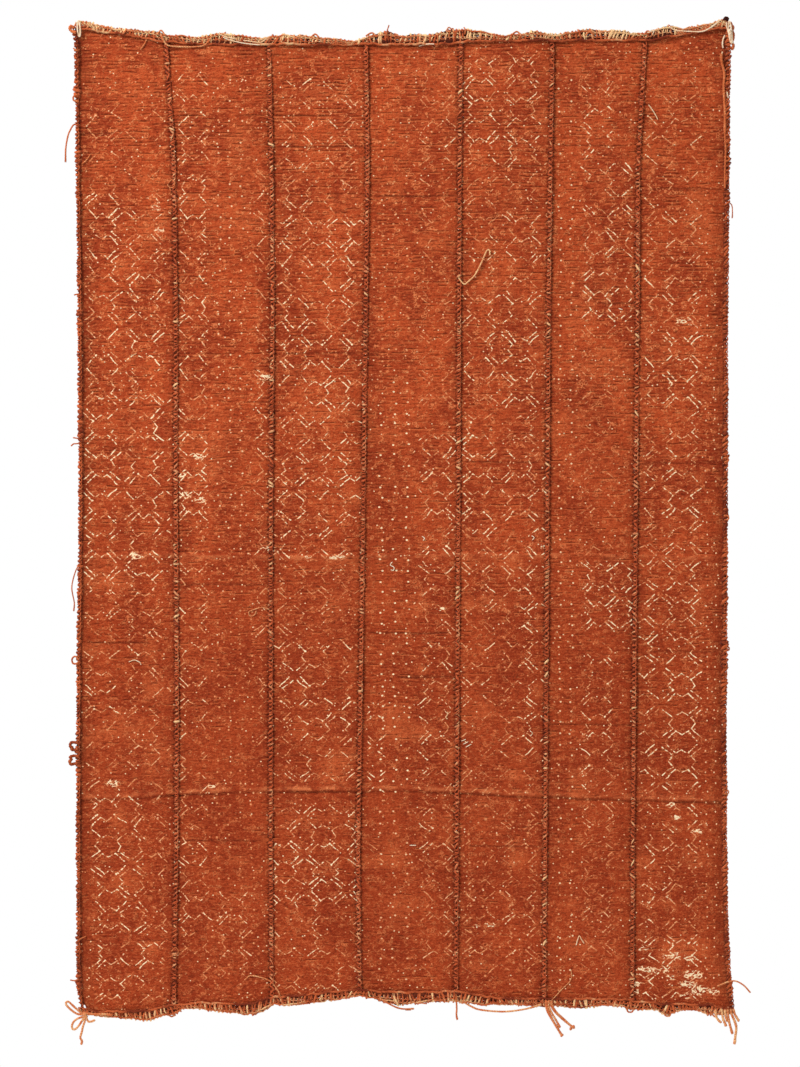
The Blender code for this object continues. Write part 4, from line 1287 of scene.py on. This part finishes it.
def end_cords(edge, seed, warm_and_less_shade):
    """Two cords along the loops, two curls over them and two cores under them."""
    spots, face = edge["spots"], edge["y_middle"] - edge["y_half"]
    fine = np.arange(edge["from"] + 3 * MM, edge["to"] - 3 * MM, 3.2 * MM)
    high_z, low_z, front = (np.interp(fine, spots, side) for side in (edge["outer"], edge["inner"], face))
    tubes = []
    for number, row in enumerate(named(CORD_COLUMNS, CORD_ROWS)):
        wave = row["share"] + row["waves"] * swell(fine, 0.017, seed + 10 + number)
        y = front + row["back"] * MM + 1.1 * MM * swell(fine, 0.013, seed + 20 + number)
        pale = row["tone"] - warm_and_less_shade + 0.5 * swell(fine, 0.02, seed + 30 + number)
        cord = joined(fine, y, low_z + (high_z - low_z) * wave)
        tubes.append(tube(cord, row["radius"] * MM, FORWARD, pale, 0.1))
    run = np.arange(edge["from"] + 4 * MM, edge["to"] - 4 * MM, 1.25 * MM)
    base, top, front = (np.interp(run, spots, side) for side in (edge["inner"], edge["outer"], face))
    for number, row in enumerate(named(OVER_COLUMNS, OVER_ROWS)):
        turn = run / OVER_PITCH * 2 * math.pi + 3.0 * swell(run, 0.02, seed + 40 + number)
        wide = MM * (2.1 + 1.2 * swell(run, 0.03, seed + 50 + number))
        hidden = np.clip(2.2 * swell(run, 0.028, seed + 60 + number), -0.4, 1.6)
        level = base + (top - base) * (row["share"] + 0.12 * swell(run, 0.016, seed + 70 + number))
        curl = joined(run - 2.6 * MM * np.sin(turn), front + MM * (hidden - 0.9 * np.sin(turn)),
                      level + wide * np.cos(turn))
        pale = row["tone"] - warm_and_less_shade + 0.3 * swell(run, 0.024, seed + 80 + number)
        tubes.append(tube(curl, CURL_RADIUS, FORWARD, pale, 0.05, 4))
    # The cores are dark tubes of painted shade; on the bottom edge they are a little lighter.
    for share in CORE_SHARES:
        y = np.interp(fine, spots, edge["y_middle"]) + 0.8 * MM
        shadow_core = joined(fine, y, low_z + (high_z - low_z) * share)
        radius = np.maximum(np.abs(high_z - low_z) * 0.25, 1.5 * MM)
        tubes.append(tube(shadow_core, radius, FORWARD, 0.1, 0.8 - 1.2 * warm_and_less_shade, sides=6))
    return tubes


END_EDGE_COLUMNS = ("node", "seed", "cream_share", "inner_reach", "warm_and_less_shade")
END_EDGE_ROWS = (("top_roll", 71, 0.42, 2.0, 0.0), ("bottom_roll", 72, 0.24, 3.0, 0.16))
ends = []
for row in named(END_EDGE_COLUMNS, END_EDGE_ROWS):
    edge = end_edge(row["node"], row["seed"], row["inner_reach"])
    tubes = [end_loops(edge, row["seed"], row["cream_share"]), *end_cords(edge, row["seed"], row["warm_and_less_shade"])]
    ends.append(yarn_piece(row["node"].replace("roll", "overcast"), tubes, "edge_yarn", row["node"]))

# %% [markdown]
# ## Loose ends
# The sewing yarn's ends were never trimmed. A loose end is two plies twisted round each other, so each
# route is smoothed first and then two thin tubes wind round it. The routes are lists of places given in
# millimetres across and below the middle of the top edge. How far each lies forward is read from its
# solid.

# %% Twisted yarn
TWIST = 4.2
ROUTE_STEP = 0.75
NODE_REACH = 7.0


def smooth_route(route):
    """A rounded line through points, with its own points close together."""
    route = np.asarray(route, float)
    before, after = 2 * route[0] - route[1], 2 * route[-1] - route[-2]
    knots = np.vstack([before, route, after])
    found = []
    for number in range(1, len(knots) - 2):
        first, start, end, last = knots[number - 1:number + 3]
        count = max(2, round(np.linalg.norm(end - start) / ROUTE_STEP))
        share = np.linspace(0, 1, count, endpoint=False)[:, None]
        turning, closing = 2 * first - 5 * start + 4 * end - last, 3 * start - first - 3 * end + last
        found.append(0.5 * (2 * start + (end - first) * share + turning * share ** 2 + closing * share ** 3))
    return np.vstack([*found, route[-1:]])


def plies(route, width, tone, seed, fray):
    """Two tubes twisted round a route; fray spreads them towards the free end."""
    line = smooth_route(route)
    ahead = np.gradient(line, axis=0)
    ahead /= np.maximum(np.linalg.norm(ahead, axis=1, keepdims=True), 1e-9)
    side = np.asarray(FORWARD, float) - (ahead @ np.asarray(FORWARD, float))[:, None] * ahead
    side /= np.maximum(np.linalg.norm(side, axis=1, keepdims=True), 1e-9)
    other = np.cross(ahead, side)
    run = np.concatenate([[0], np.cumsum(np.linalg.norm(np.diff(line, axis=0), axis=1))])
    spread = 0.24 * width * (1 + fray * np.clip(run / run[-1] * 5 - 4, 0, 1))
    tubes = []
    for ply in range(2):
        turn = (2 * math.pi * run / TWIST + math.pi * ply)[:, None]
        path = line + spread[:, None] * (np.cos(turn) * side + np.sin(turn) * other)
        thick = 0.30 * width * (1 + 0.15 * swell(run, 5, seed + ply))
        thick = thick * np.minimum(1, 0.5 + (run[-1] - run) / (1.2 * width))
        ply_tone = tone + 0.12 * ply + 0.15 * swell(run, 9, seed + 7)
        tubes.append(tube(path * MM, thick * MM, side, ply_tone, max(0.0, -tone)))
    return tubes


def forward_of(node, x, depth):
    """How far forward a CAD node lies near a place, in millimetres."""
    spots = np.array([vert.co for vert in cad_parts[node].data.vertices]) / MM
    away = np.hypot(spots[:, 0] - x, -spots[:, 2] - depth)
    near = away < max(NODE_REACH, away.min() + 2.0)
    return -(spots[near, 1].min() + spots[near, 1].max()) / 2


def placed(node, route, lift=0.0):
    """A route of (x, depth) as points in millimetres, at the distance forward of its CAD node."""
    return [(x, -forward_of(node, x, depth) - lift, -depth) for x, depth in route]


print("a twist is", TWIST, "mm long")

# %% [markdown]
# ## Loose yarns in the place of solids
# Each row says which solid a yarn stands for, how wide and how pale it is, and where it runs. An end that
# starts at a side edge is given from that edge outwards, because the edge's place is measured from the
# solid.

# %% Loose yarns that replace solids
SINGLE_COLUMNS = ("node", "width", "tone", "route")
SINGLE_ROWS = (
    ("top_cord", 2.7, 0.62, ((-397, -4), (-391, 9), (-384, 16), (-363, 18), (-340, 18), (-327, 16), (-317, 8),
                             (-311, -3))),
    ("bottom_cord", 3.4, 0.66, ((97, 1583), (112, 1592), (128, 1598), (166, 1601), (200, 1597), (228, 1589))),
    ("bottom_stub", 3.0, 0.45, ((-38, 1578), (-18, 1590), (-2, 1596), (19, 1596))),
    ("seam_4_end", 3.2, 0.45, ((88, 1576), (89, 1596), (88.5, 1606), (90, 1614.5))),
    ("right_whisker", 2.8, 0.6, ((517, 1559), (534, 1552), (547, 1551), (560, 1558), (571, 1570))),
    ("seam_4_yarn", 2.6, 0.85, ((92, 397), (97, 404), (102, 407.5), (108, 403), (119, 392), (129, 373),
                                (138, 353), (143, 352.5), (143, 360))),
)
PALE_ROWS = (
    ("top_pale_yarn", 2.4, 0.75, ((437, -15), (448, -9), (470, -7), (491, -7), (505, -13), (521, -25))),
)
EDGE_TONE = 0.38
EDGE_COLUMNS = ("node", "side", "width", "route")
EDGE_ROWS = (
    ("left_thread_upper", -1, 3.0, ((-4, 144), (3, 146), (8, 154), (12, 164), (15.5, 184), (16, 207))),
    ("left_stub_upper", -1, 2.7, ((-4, 423), (2, 424), (6, 425))),
    ("left_stub_middle", -1, 2.6, ((-4, 661), (3, 660), (8.5, 659))),
    ("left_stub_lower", -1, 2.6, ((-4, 668), (3, 669), (8, 669.5), (12, 673))),
    ("left_thread_lower", -1, 2.4, ((-4, 868), (3, 876), (10, 904), (6, 930), (7, 944))),
    ("right_thread", 1, 2.2, ((-3, 272), (2.5, 278), (3.5, 290), (3, 299))),
)


def loose_yarn(node, width, tone, route, slot, seed):
    """One twisted yarn in the place of its solid."""
    return yarn_piece(f"{node}_plies", plies(placed(node, route), width, tone, seed, 0.6), slot, node)


loose = []
for rows, slot, first in ((SINGLE_ROWS, "loose_yarn", 90), (PALE_ROWS, "pale_yarn", 110)):
    for seed, row in enumerate(named(SINGLE_COLUMNS, rows)):
        loose.append(loose_yarn(**row, slot=slot, seed=first + seed))
for seed, row in enumerate(named(EDGE_COLUMNS, EDGE_ROWS)):
    low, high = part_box(row["node"])
    root = (high.x if row["side"] < 0 else low.x) / MM
    route = [(root + row["side"] * out, depth) for out, depth in row["route"]]
    loose.append(loose_yarn(row["node"], row["width"], EDGE_TONE, route, "loose_yarn", 120 + seed))
print("loose yarns:", len(loose))

# %% [markdown]
# ## The bow and the tassels
# At the lower left corner the yarn was tied off in a small bow, and where two seams end several strands
# hang down together, each with a hard little knot at its tip. They are made of the same twisted yarn as
# the loose ends.

# %% Bow and tassels
BOW_STRANDS = (
    ((-521, 1604), (-528, 1601.5), (-535, 1595.5), (-542, 1589), (-547.5, 1584), (-551.5, 1585), (-551, 1589.5),
     (-545, 1596), (-538, 1601.5), (-531, 1604.6), (-521, 1605)),
    ((-521, 1608), (-528, 1610), (-534, 1612.5), (-539.5, 1617.5), (-542, 1623.5), (-541, 1628.5),
     (-537.5, 1629.5), (-533.5, 1626.5), (-529, 1621), (-525.8, 1615.8), (-521, 1609)),
    ((-520.5, 1604), (-520.6, 1613), (-521.3, 1617), (-524, 1625), (-525.6, 1633), (-528.2, 1643),
     (-525.5, 1648.5), (-526.8, 1654.5)),
    ((-520, 1606), (-517.2, 1613), (-515, 1616.5), (-510, 1616.5), (-504, 1614)),
    ((-523, 1602), (-516, 1604), (-506, 1604.5), (-490, 1604.5), (-476, 1606)),
)
SEAM_5_STRANDS = (
    ((235, 1582), (235.5, 1592), (239.2, 1603), (247.4, 1617), (255, 1629.5), (259.5, 1636.5), (261, 1639.5)),
    ((239, 1583), (240, 1592), (244.8, 1603), (251.4, 1614), (258.5, 1627)),
    ((237, 1584), (237.6, 1594), (242, 1606), (249, 1619), (256.5, 1631)),
    ((243, 1583), (244.5, 1592), (250.4, 1601), (260.5, 1611), (271.6, 1620), (277, 1624.5), (280, 1627)),
    ((244, 1585), (247, 1594), (254, 1603.5), (264, 1612.5), (273, 1621.5)),
)
CORNER_STRANDS = (
    ((543, 1597), (545, 1605), (547.5, 1609), (550, 1613.5), (551, 1616)),
    ((538, 1597), (540.3, 1606), (545, 1617), (547.5, 1627), (546, 1641), (545, 1650), (544.5, 1654)),
    ((533, 1597), (534, 1606), (535.5, 1616), (538.5, 1628), (541.2, 1637)),
    ((523, 1597), (524.5, 1605), (526, 1613), (529, 1620), (530.5, 1624)),
    ((513, 1597), (514, 1605), (515, 1610), (518.5, 1615), (522.5, 1618.5)),
    ((529, 1598), (529.5, 1606), (531, 1612), (533, 1617)),
)


def knot(spot, size, tone, seed):
    """A small wound ball of yarn."""
    turn = np.linspace(0, 9 * math.pi, 60)
    tilt = turn * 0.37 + seed
    ball = np.stack([np.cos(turn) * np.cos(tilt), np.sin(turn), np.cos(turn) * np.sin(tilt)], -1)
    line = (np.asarray(spot) + size * ball) * MM
    return tube(line, 0.55 * size * MM, ball, tone, 0.0)


def bunch(node, routes, width, tone, seed, knots):
    """Several yarns and the knots on them in the place of one solid."""
    tubes = []
    for number, route in enumerate(routes):
        line = placed(node, route, 0.25 * (number % 3))
        tubes += plies(line, width, tone + 0.08 * (number % 2), seed + number, 0.4)
    for number, row in enumerate(named(KNOT_COLUMNS, knots)):
        spot = (row["x"], -forward_of(node, row["x"], row["depth"]), -row["depth"])
        tubes.append(knot(spot, row["size"], tone + 0.1, seed + number))
    return yarn_piece(f"{node}_yarns", tubes, "loose_yarn", node)


KNOT_COLUMNS = ("x", "depth", "size")
BOW_KNOTS = ((-521, 1605, 2.6), (-519, 1608, 2.2), (-526.6, 1653, 1.3))
SEAM_5_KNOTS = ((261, 1639, 2.2), (280, 1626, 2.4), (276, 1629, 1.8), (240, 1585, 2.4), (236, 1585, 2.2),
                (244, 1586, 2.2))
CORNER_KNOTS = ((544.5, 1652, 1.7), (551, 1615, 1.7), (530, 1623, 1.8), (541, 1636, 1.2), (522, 1618, 1.3))
bunch("bow", BOW_STRANDS, 3.9, 0.6, 130, BOW_KNOTS)
bunch("seam_5_tassel", SEAM_5_STRANDS, 4.2, 0.5, 140, SEAM_5_KNOTS)
bunch("corner_tassel", CORNER_STRANDS, 4.6, 0.6, 150, CORNER_KNOTS)

# %% [markdown]
# ## Loops at the two upper corners
# Small loops of undyed yarn are sewn to the upper corners, where the cloth was held. Each is a flat ring
# of twisted yarn, drawn long by the pull.

# %% Corner loops
LOOP_YARN = 3.0
LOOP_COLUMNS = ("node", "x", "depth", "half_length", "half_width", "lean")
LOOP_ROWS = (("corner_loop_left", -531, -12, 13, 2.3, 0.07), ("corner_loop_right", 537.5, -6, 18, 2.3, 0.1))


def corner_loop(row, seed):
    """A long ring of twisted pale yarn."""
    turn = np.linspace(0, 2 * math.pi, 17)
    up = row["half_length"] * np.cos(turn)
    route = [(row["x"] + row["half_width"] * math.sin(angle) - row["lean"] * rise, row["depth"] - rise)
             for angle, rise in zip(turn, up)]
    tubes = plies(placed(row["node"], route), LOOP_YARN, 0.75, seed, 0.0)
    return yarn_piece(f"{row['node']}_plies", tubes, "pale_yarn", row["node"])


for seed, row in enumerate(named(LOOP_COLUMNS, LOOP_ROWS)):
    corner_loop(row, 160 + seed)

# %% [markdown]
# ## Small ends all over the cloth
# Up close there are many more bits of yarn: curls on the strips, rings and tufts along the edges, an end
# that crosses a seam. They are too small for solids of their own, so they exist here only. Each lies on
# the cloth, so a ray from the front finds how far forward the surface is, and the yarn is laid on it.

# %% The surface under small ends
def surface_tree():
    """All dressed pieces so far as one tree for rays."""
    points, faces, first = [], [], 0
    for made in strips + seams + sides + ends:
        points += [vert.co for vert in made.data.vertices]
        faces += [[corner + first for corner in face.vertices] for face in made.data.polygons]
        first += len(made.data.vertices)
    return BVHTree.FromPolygons(points, faces)


SURFACE = surface_tree()


def on_surface(x, depth, width):
    """A point in millimetres where a yarn of this width touches the cloth."""
    hit = SURFACE.ray_cast(Vector((x * MM, -0.2, -depth * MM)), Vector((0, 1, 0)))[0]
    return (x, (hit.y / MM if hit else 0.0) - 0.45 * width, -depth)


print("a thin yarn laid on the middle of the cloth:", [round(side, 1) for side in on_surface(0, 800, 2.0)])

# %% [markdown]
# ## Where the rust ends lie
# Each row is one end: how wide and how pale the yarn is, and its route in millimetres across and below
# the middle of the top edge. They were placed about where the real cloth shows such ends.

# %% Small rust ends
END_COLUMNS = ("width", "tone", "route")
END_ROWS = (
    (5.4, 0.42, ((-536, -5), (-543, -8), (-546, -13), (-543, -16), (-540, -12))),
    (4.6, 0.4, ((523, 30), (524, 44), (528, 62), (527, 82), (528, 104), (529, 130), (529, 160))),
    (3.4, 0.36, ((529, 158), (530, 190), (529, 226), (529, 250))),
    (4.4, -0.9, ((527, -26), (530, -30), (534, -29), (533, -26), (529, -27))),
    (5.0, 0.25, ((538, -22), (540, -17), (542.5, -14), (541, -8), (543, -3), (542.5, 4), (541, 10),
            (543, 16), (540.5, 23))),
    (3.2, 0.36, ((-531, 1023), (-537, 1018), (-542, 1022), (-541, 1029), (-535, 1030), (-530, 1026))),
    (5.4, 0.12, ((-531, 1160), (-539, 1159), (-544, 1160), (-545, 1166), (-541, 1168), (-543, 1171),
            (-537, 1171), (-531, 1169))),
    (5.4, 0.1, ((-531, 1182), (-538, 1181), (-545, 1183), (-543, 1187), (-546, 1190), (-544, 1195),
            (-538, 1194), (-531, 1193))),
    (3.0, 0.4, ((528, 198), (534, 199), (536, 203), (530, 206))),
    (3.0, 0.4, ((527, 692), (533, 693), (534, 697), (528, 699))),
    (2.8, 0.4, ((527, 787), (534, 788), (534, 793), (528, 794))),
    (2.8, 0.4, ((526, 1002), (535, 1003), (535, 1008), (527, 1009))),
    (2.8, 0.4, ((525, 1237), (534, 1238), (534, 1243), (527, 1244))),
    (2.2, 0.6, ((-257, 1547), (-250, 1542), (-235, 1544), (-217, 1551), (-204, 1567), (-201, 1575))),
    (1.6, 0.6, ((245, 1582), (260, 1566), (276, 1549), (277, 1533))),
    (2.2, 0.5, ((-385, 242), (-379, 236), (-374, 240), (-375, 247), (-381, 249), (-386, 244))),
    (2.2, 0.5, ((-379, 1502), (-373, 1496), (-368, 1501), (-371, 1508), (-378, 1508))),
    (1.8, 0.6, ((-218, 941), (-231, 938), (-243, 941), (-252, 945), (-250, 952), (-243, 950), (-240, 943))),
    (1.8, 0.6, ((-70, 889), (-64, 895), (-62, 903), (-67, 909))),
    (1.9, 0.5, ((-536, 1487), (-528, 1481), (-519, 1477))),
    (2.6, 0.4, ((-545, 1549), (-538, 1550), (-531, 1547))),
    (2.4, 0.5, ((19, 1582), (30, 1578), (48, 1575))), (2.4, 0.45, ((26, 1586), (40, 1588))),
    (2.6, 0.3, ((5, 1598), (14, 1598))), (3.0, 0.45, ((368, 1594), (370, 1601), (377, 1601), (379, 1594))),
    (3.0, 0.5, ((428, 1599), (431, 1607), (438, 1608), (441, 1600))),
    (3.0, 0.5, ((-386, 1601), (-380, 1609), (-372, 1606))),
    (3.0, 0.5, ((505, 1600), (512, 1609), (518, 1603))),
    (2.2, 0.3, ((-25, 4), (-26, -4), (-24, -12), (-22, -18))),
    (2.2, 0.4, ((57, 16), (58, 6), (58, -1), (62, -3))),
    (2.2, 0.4, ((76, 2), (78, -8), (83, -12), (84, -4))), (2.2, 0.5, ((102, -2), (103, -9), (101, -14))),
    (2.4, 0.5, ((72, -8), (76, -14), (81, -10), (78, -6), (73, -7))),
    (3.0, 0.5, ((-458, -4), (-452, -10), (-445, -6))), (3.0, 0.45, ((-500, -12), (-494, -17), (-486, -12))),
    (3.0, 0.5, ((-402, -2), (-396, -9), (-389, 0))), (2.8, 0.45, ((-540, 20), (-535, 24), (-530, 22))),
    (3.2, 0.4, ((-533, 96), (-540, 100), (-539, 106), (-531, 108))),
    (2.2, 0.5, ((-526, 210), (-519, 204), (-512, 194))), (3.0, 0.4, ((397, -2), (402, -8), (410, -4))),
    (3.0, 0.45, ((300, 0), (306, -6), (314, -2))), (3.0, 0.45, ((180, -2), (188, -7), (195, 0))),
    (3.0, 0.4, ((-150, 2), (-143, -3), (-136, 4))), (3.0, 0.45, ((-190, 6), (-180, 0), (-172, 6))),
    (2.6, 0.5, ((-420, 6), (-424, 14), (-430, 22))), (3.0, 0.5, ((-60, 0), (-50, -5), (-42, 2))),
)
print("small rust ends:", len(END_ROWS))

# %% [markdown]
# ## Where the pale ends lie
# The undyed ends are a piece of their own, because a piece has one finish. Both pieces are then laid on
# the surface in the same way.

# %% Small pale ends
PALE_END_ROWS = (
    (2.0, 0.55, ((-301, -3), (-290, 2), (-280, 4), (-268, 7), (-257, 8), (-244, 10), (-234, 11),
            (-226, 7), (-219, 1))),
    (1.9, 0.7, ((-294, 3), (-280, 8), (-262, 12), (-246, 14), (-234, 15))),
    (2.8, 0.8, ((529, -1), (526, 6), (525, 14), (526, 20))), (2.6, 0.6, ((525, 26), (523, 34), (524, 42))),
    (2.6, 0.8, ((524, 44), (526, 50), (529, 58))), (2.6, 0.7, ((531, -22), (532, -14), (534, -8))),
    (6.4, 0.85, ((535, -9), (537, -2), (539, 6), (541, 13))),
    (2.2, 0.7, ((532, 92), (533, 97), (534, 102))), (1.7, 0.8, ((27, 17), (34, 15), (42, 14), (52, 14))),
    (1.5, 0.8, ((-449, 1027), (-440, 1024), (-431, 1028), (-429, 1032))),
    (1.6, 0.8, ((-17, 863), (-20, 868), (-14, 872), (-15, 877), (-19, 876))),
    (1.6, 0.9, ((32, 821), (36, 824), (34, 828))), (1.6, 0.9, ((212, 820), (216, 823), (213, 827))),
    (1.4, 0.8, ((209, 1140), (213, 1144), (210, 1149))),
    (1.8, 0.3, ((70, 1108), (74, 1113), (71, 1118), (74, 1121))), (1.4, 0.8, ((97, 1157), (104, 1154))),
    (1.4, 0.8, ((100, 1162), (108, 1158))), (1.4, 0.8, ((104, 1167), (113, 1162))),
    (1.8, 0.6, ((285, 1492), (287, 1485), (290, 1477), (294, 1483), (298, 1489))),
    (1.5, 0.9, ((12, 1328), (22, 1328))), (1.9, 0.8, ((355, 447), (361, 449))),
    (1.8, 0.7, ((403, -5), (412, -8), (410, -2))),
    (2.0, 0.6, ((404, 113), (410, 121), (416, 131), (419, 137))), (1.6, 0.8, ((524, 690), (524, 694))),
)


def small_ends(name, rows, slot):
    """One piece with all the small ends of one finish."""
    tubes = []
    for seed, row in enumerate(named(END_COLUMNS, rows)):
        route = [on_surface(x, depth, row["width"]) for x, depth in row["route"]]
        tubes += plies(route, row["width"], row["tone"], 200 + seed, 0.4)
    return yarn_piece(name, tubes, slot)


small_ends("small_ends", END_ROWS, "loose_yarn")
small_ends("small_pale_ends", PALE_END_ROWS, "pale_yarn")

# %% [markdown]
# ## A floor and soft light
# The cloth hangs in front of white. The floor is a plain pale sheet well below it, and the light is a
# broad panel up and to the left, where the ridges catch it, with a white surround that fills the shadows.

# %% Floor and lights
FLOOR_BELOW = 0.28


def pale_floor():
    """A plain pale floor below the cloth."""
    half, level = 1.6, cad_low.z - FLOOR_BELOW
    mesh = bpy.data.meshes.new("floor")
    corners = [(x * half, y * half, level) for x, y in ((-1, -1), (1, -1), (1, 1), (-1, 1))]
    mesh.from_pydata(corners, [], [(0, 1, 2, 3)])
    made = bpy.data.objects.new("floor", mesh)
    bpy.context.scene.collection.objects.link(made)
    material, shader, place = new_material("floor_paint")
    grain = noise(stretched(place, (30, 30, 30)), 3)
    feed(shader.inputs["Base Color"], mix(grain, screen(244, 243, 241), screen(250, 249, 247)))
    shader.inputs["Roughness"].default_value = 0.8
    mesh.materials.append(material)
    made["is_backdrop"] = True


def panel(name, spot, aim, size, watts):
    """A square soft light that faces a point."""
    data = bpy.data.lights.new(name, "AREA")
    data.size, data.energy = size, watts
    made = bpy.data.objects.new(name, data)
    made.location = spot
    made.rotation_euler = (Vector(aim) - Vector(spot)).to_track_quat("-Z", "Y").to_euler()
    bpy.context.scene.collection.objects.link(made)


def white_surround(strength):
    """An even white world."""
    world = bpy.data.worlds.new("surround")
    bpy.context.scene.world = world
    world.use_nodes = True
    background = world.node_tree.nodes["Background"]
    background.inputs["Color"].default_value = (1, 1, 1, 1)
    background.inputs["Strength"].default_value = strength


CLOTH_MIDDLE = (0, 0, -0.8)
KEY_WATTS = 430
BACK_WATTS = 90
pale_floor()
panel("key", (-3.6, -2.5, 3.0), CLOTH_MIDDLE, 1.0, KEY_WATTS)
panel("back", (1.6, 3.4, 1.6), CLOTH_MIDDLE, 2.2, BACK_WATTS)
white_surround(1.0)
bpy.context.scene.view_settings.view_transform = "Standard"

# %% [markdown]
# ## The last look at the size
# The dressed cloth should be as large as its solids, so the box round it is measured once more at the
# end.

# %% Sizes and finish
low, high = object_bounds()
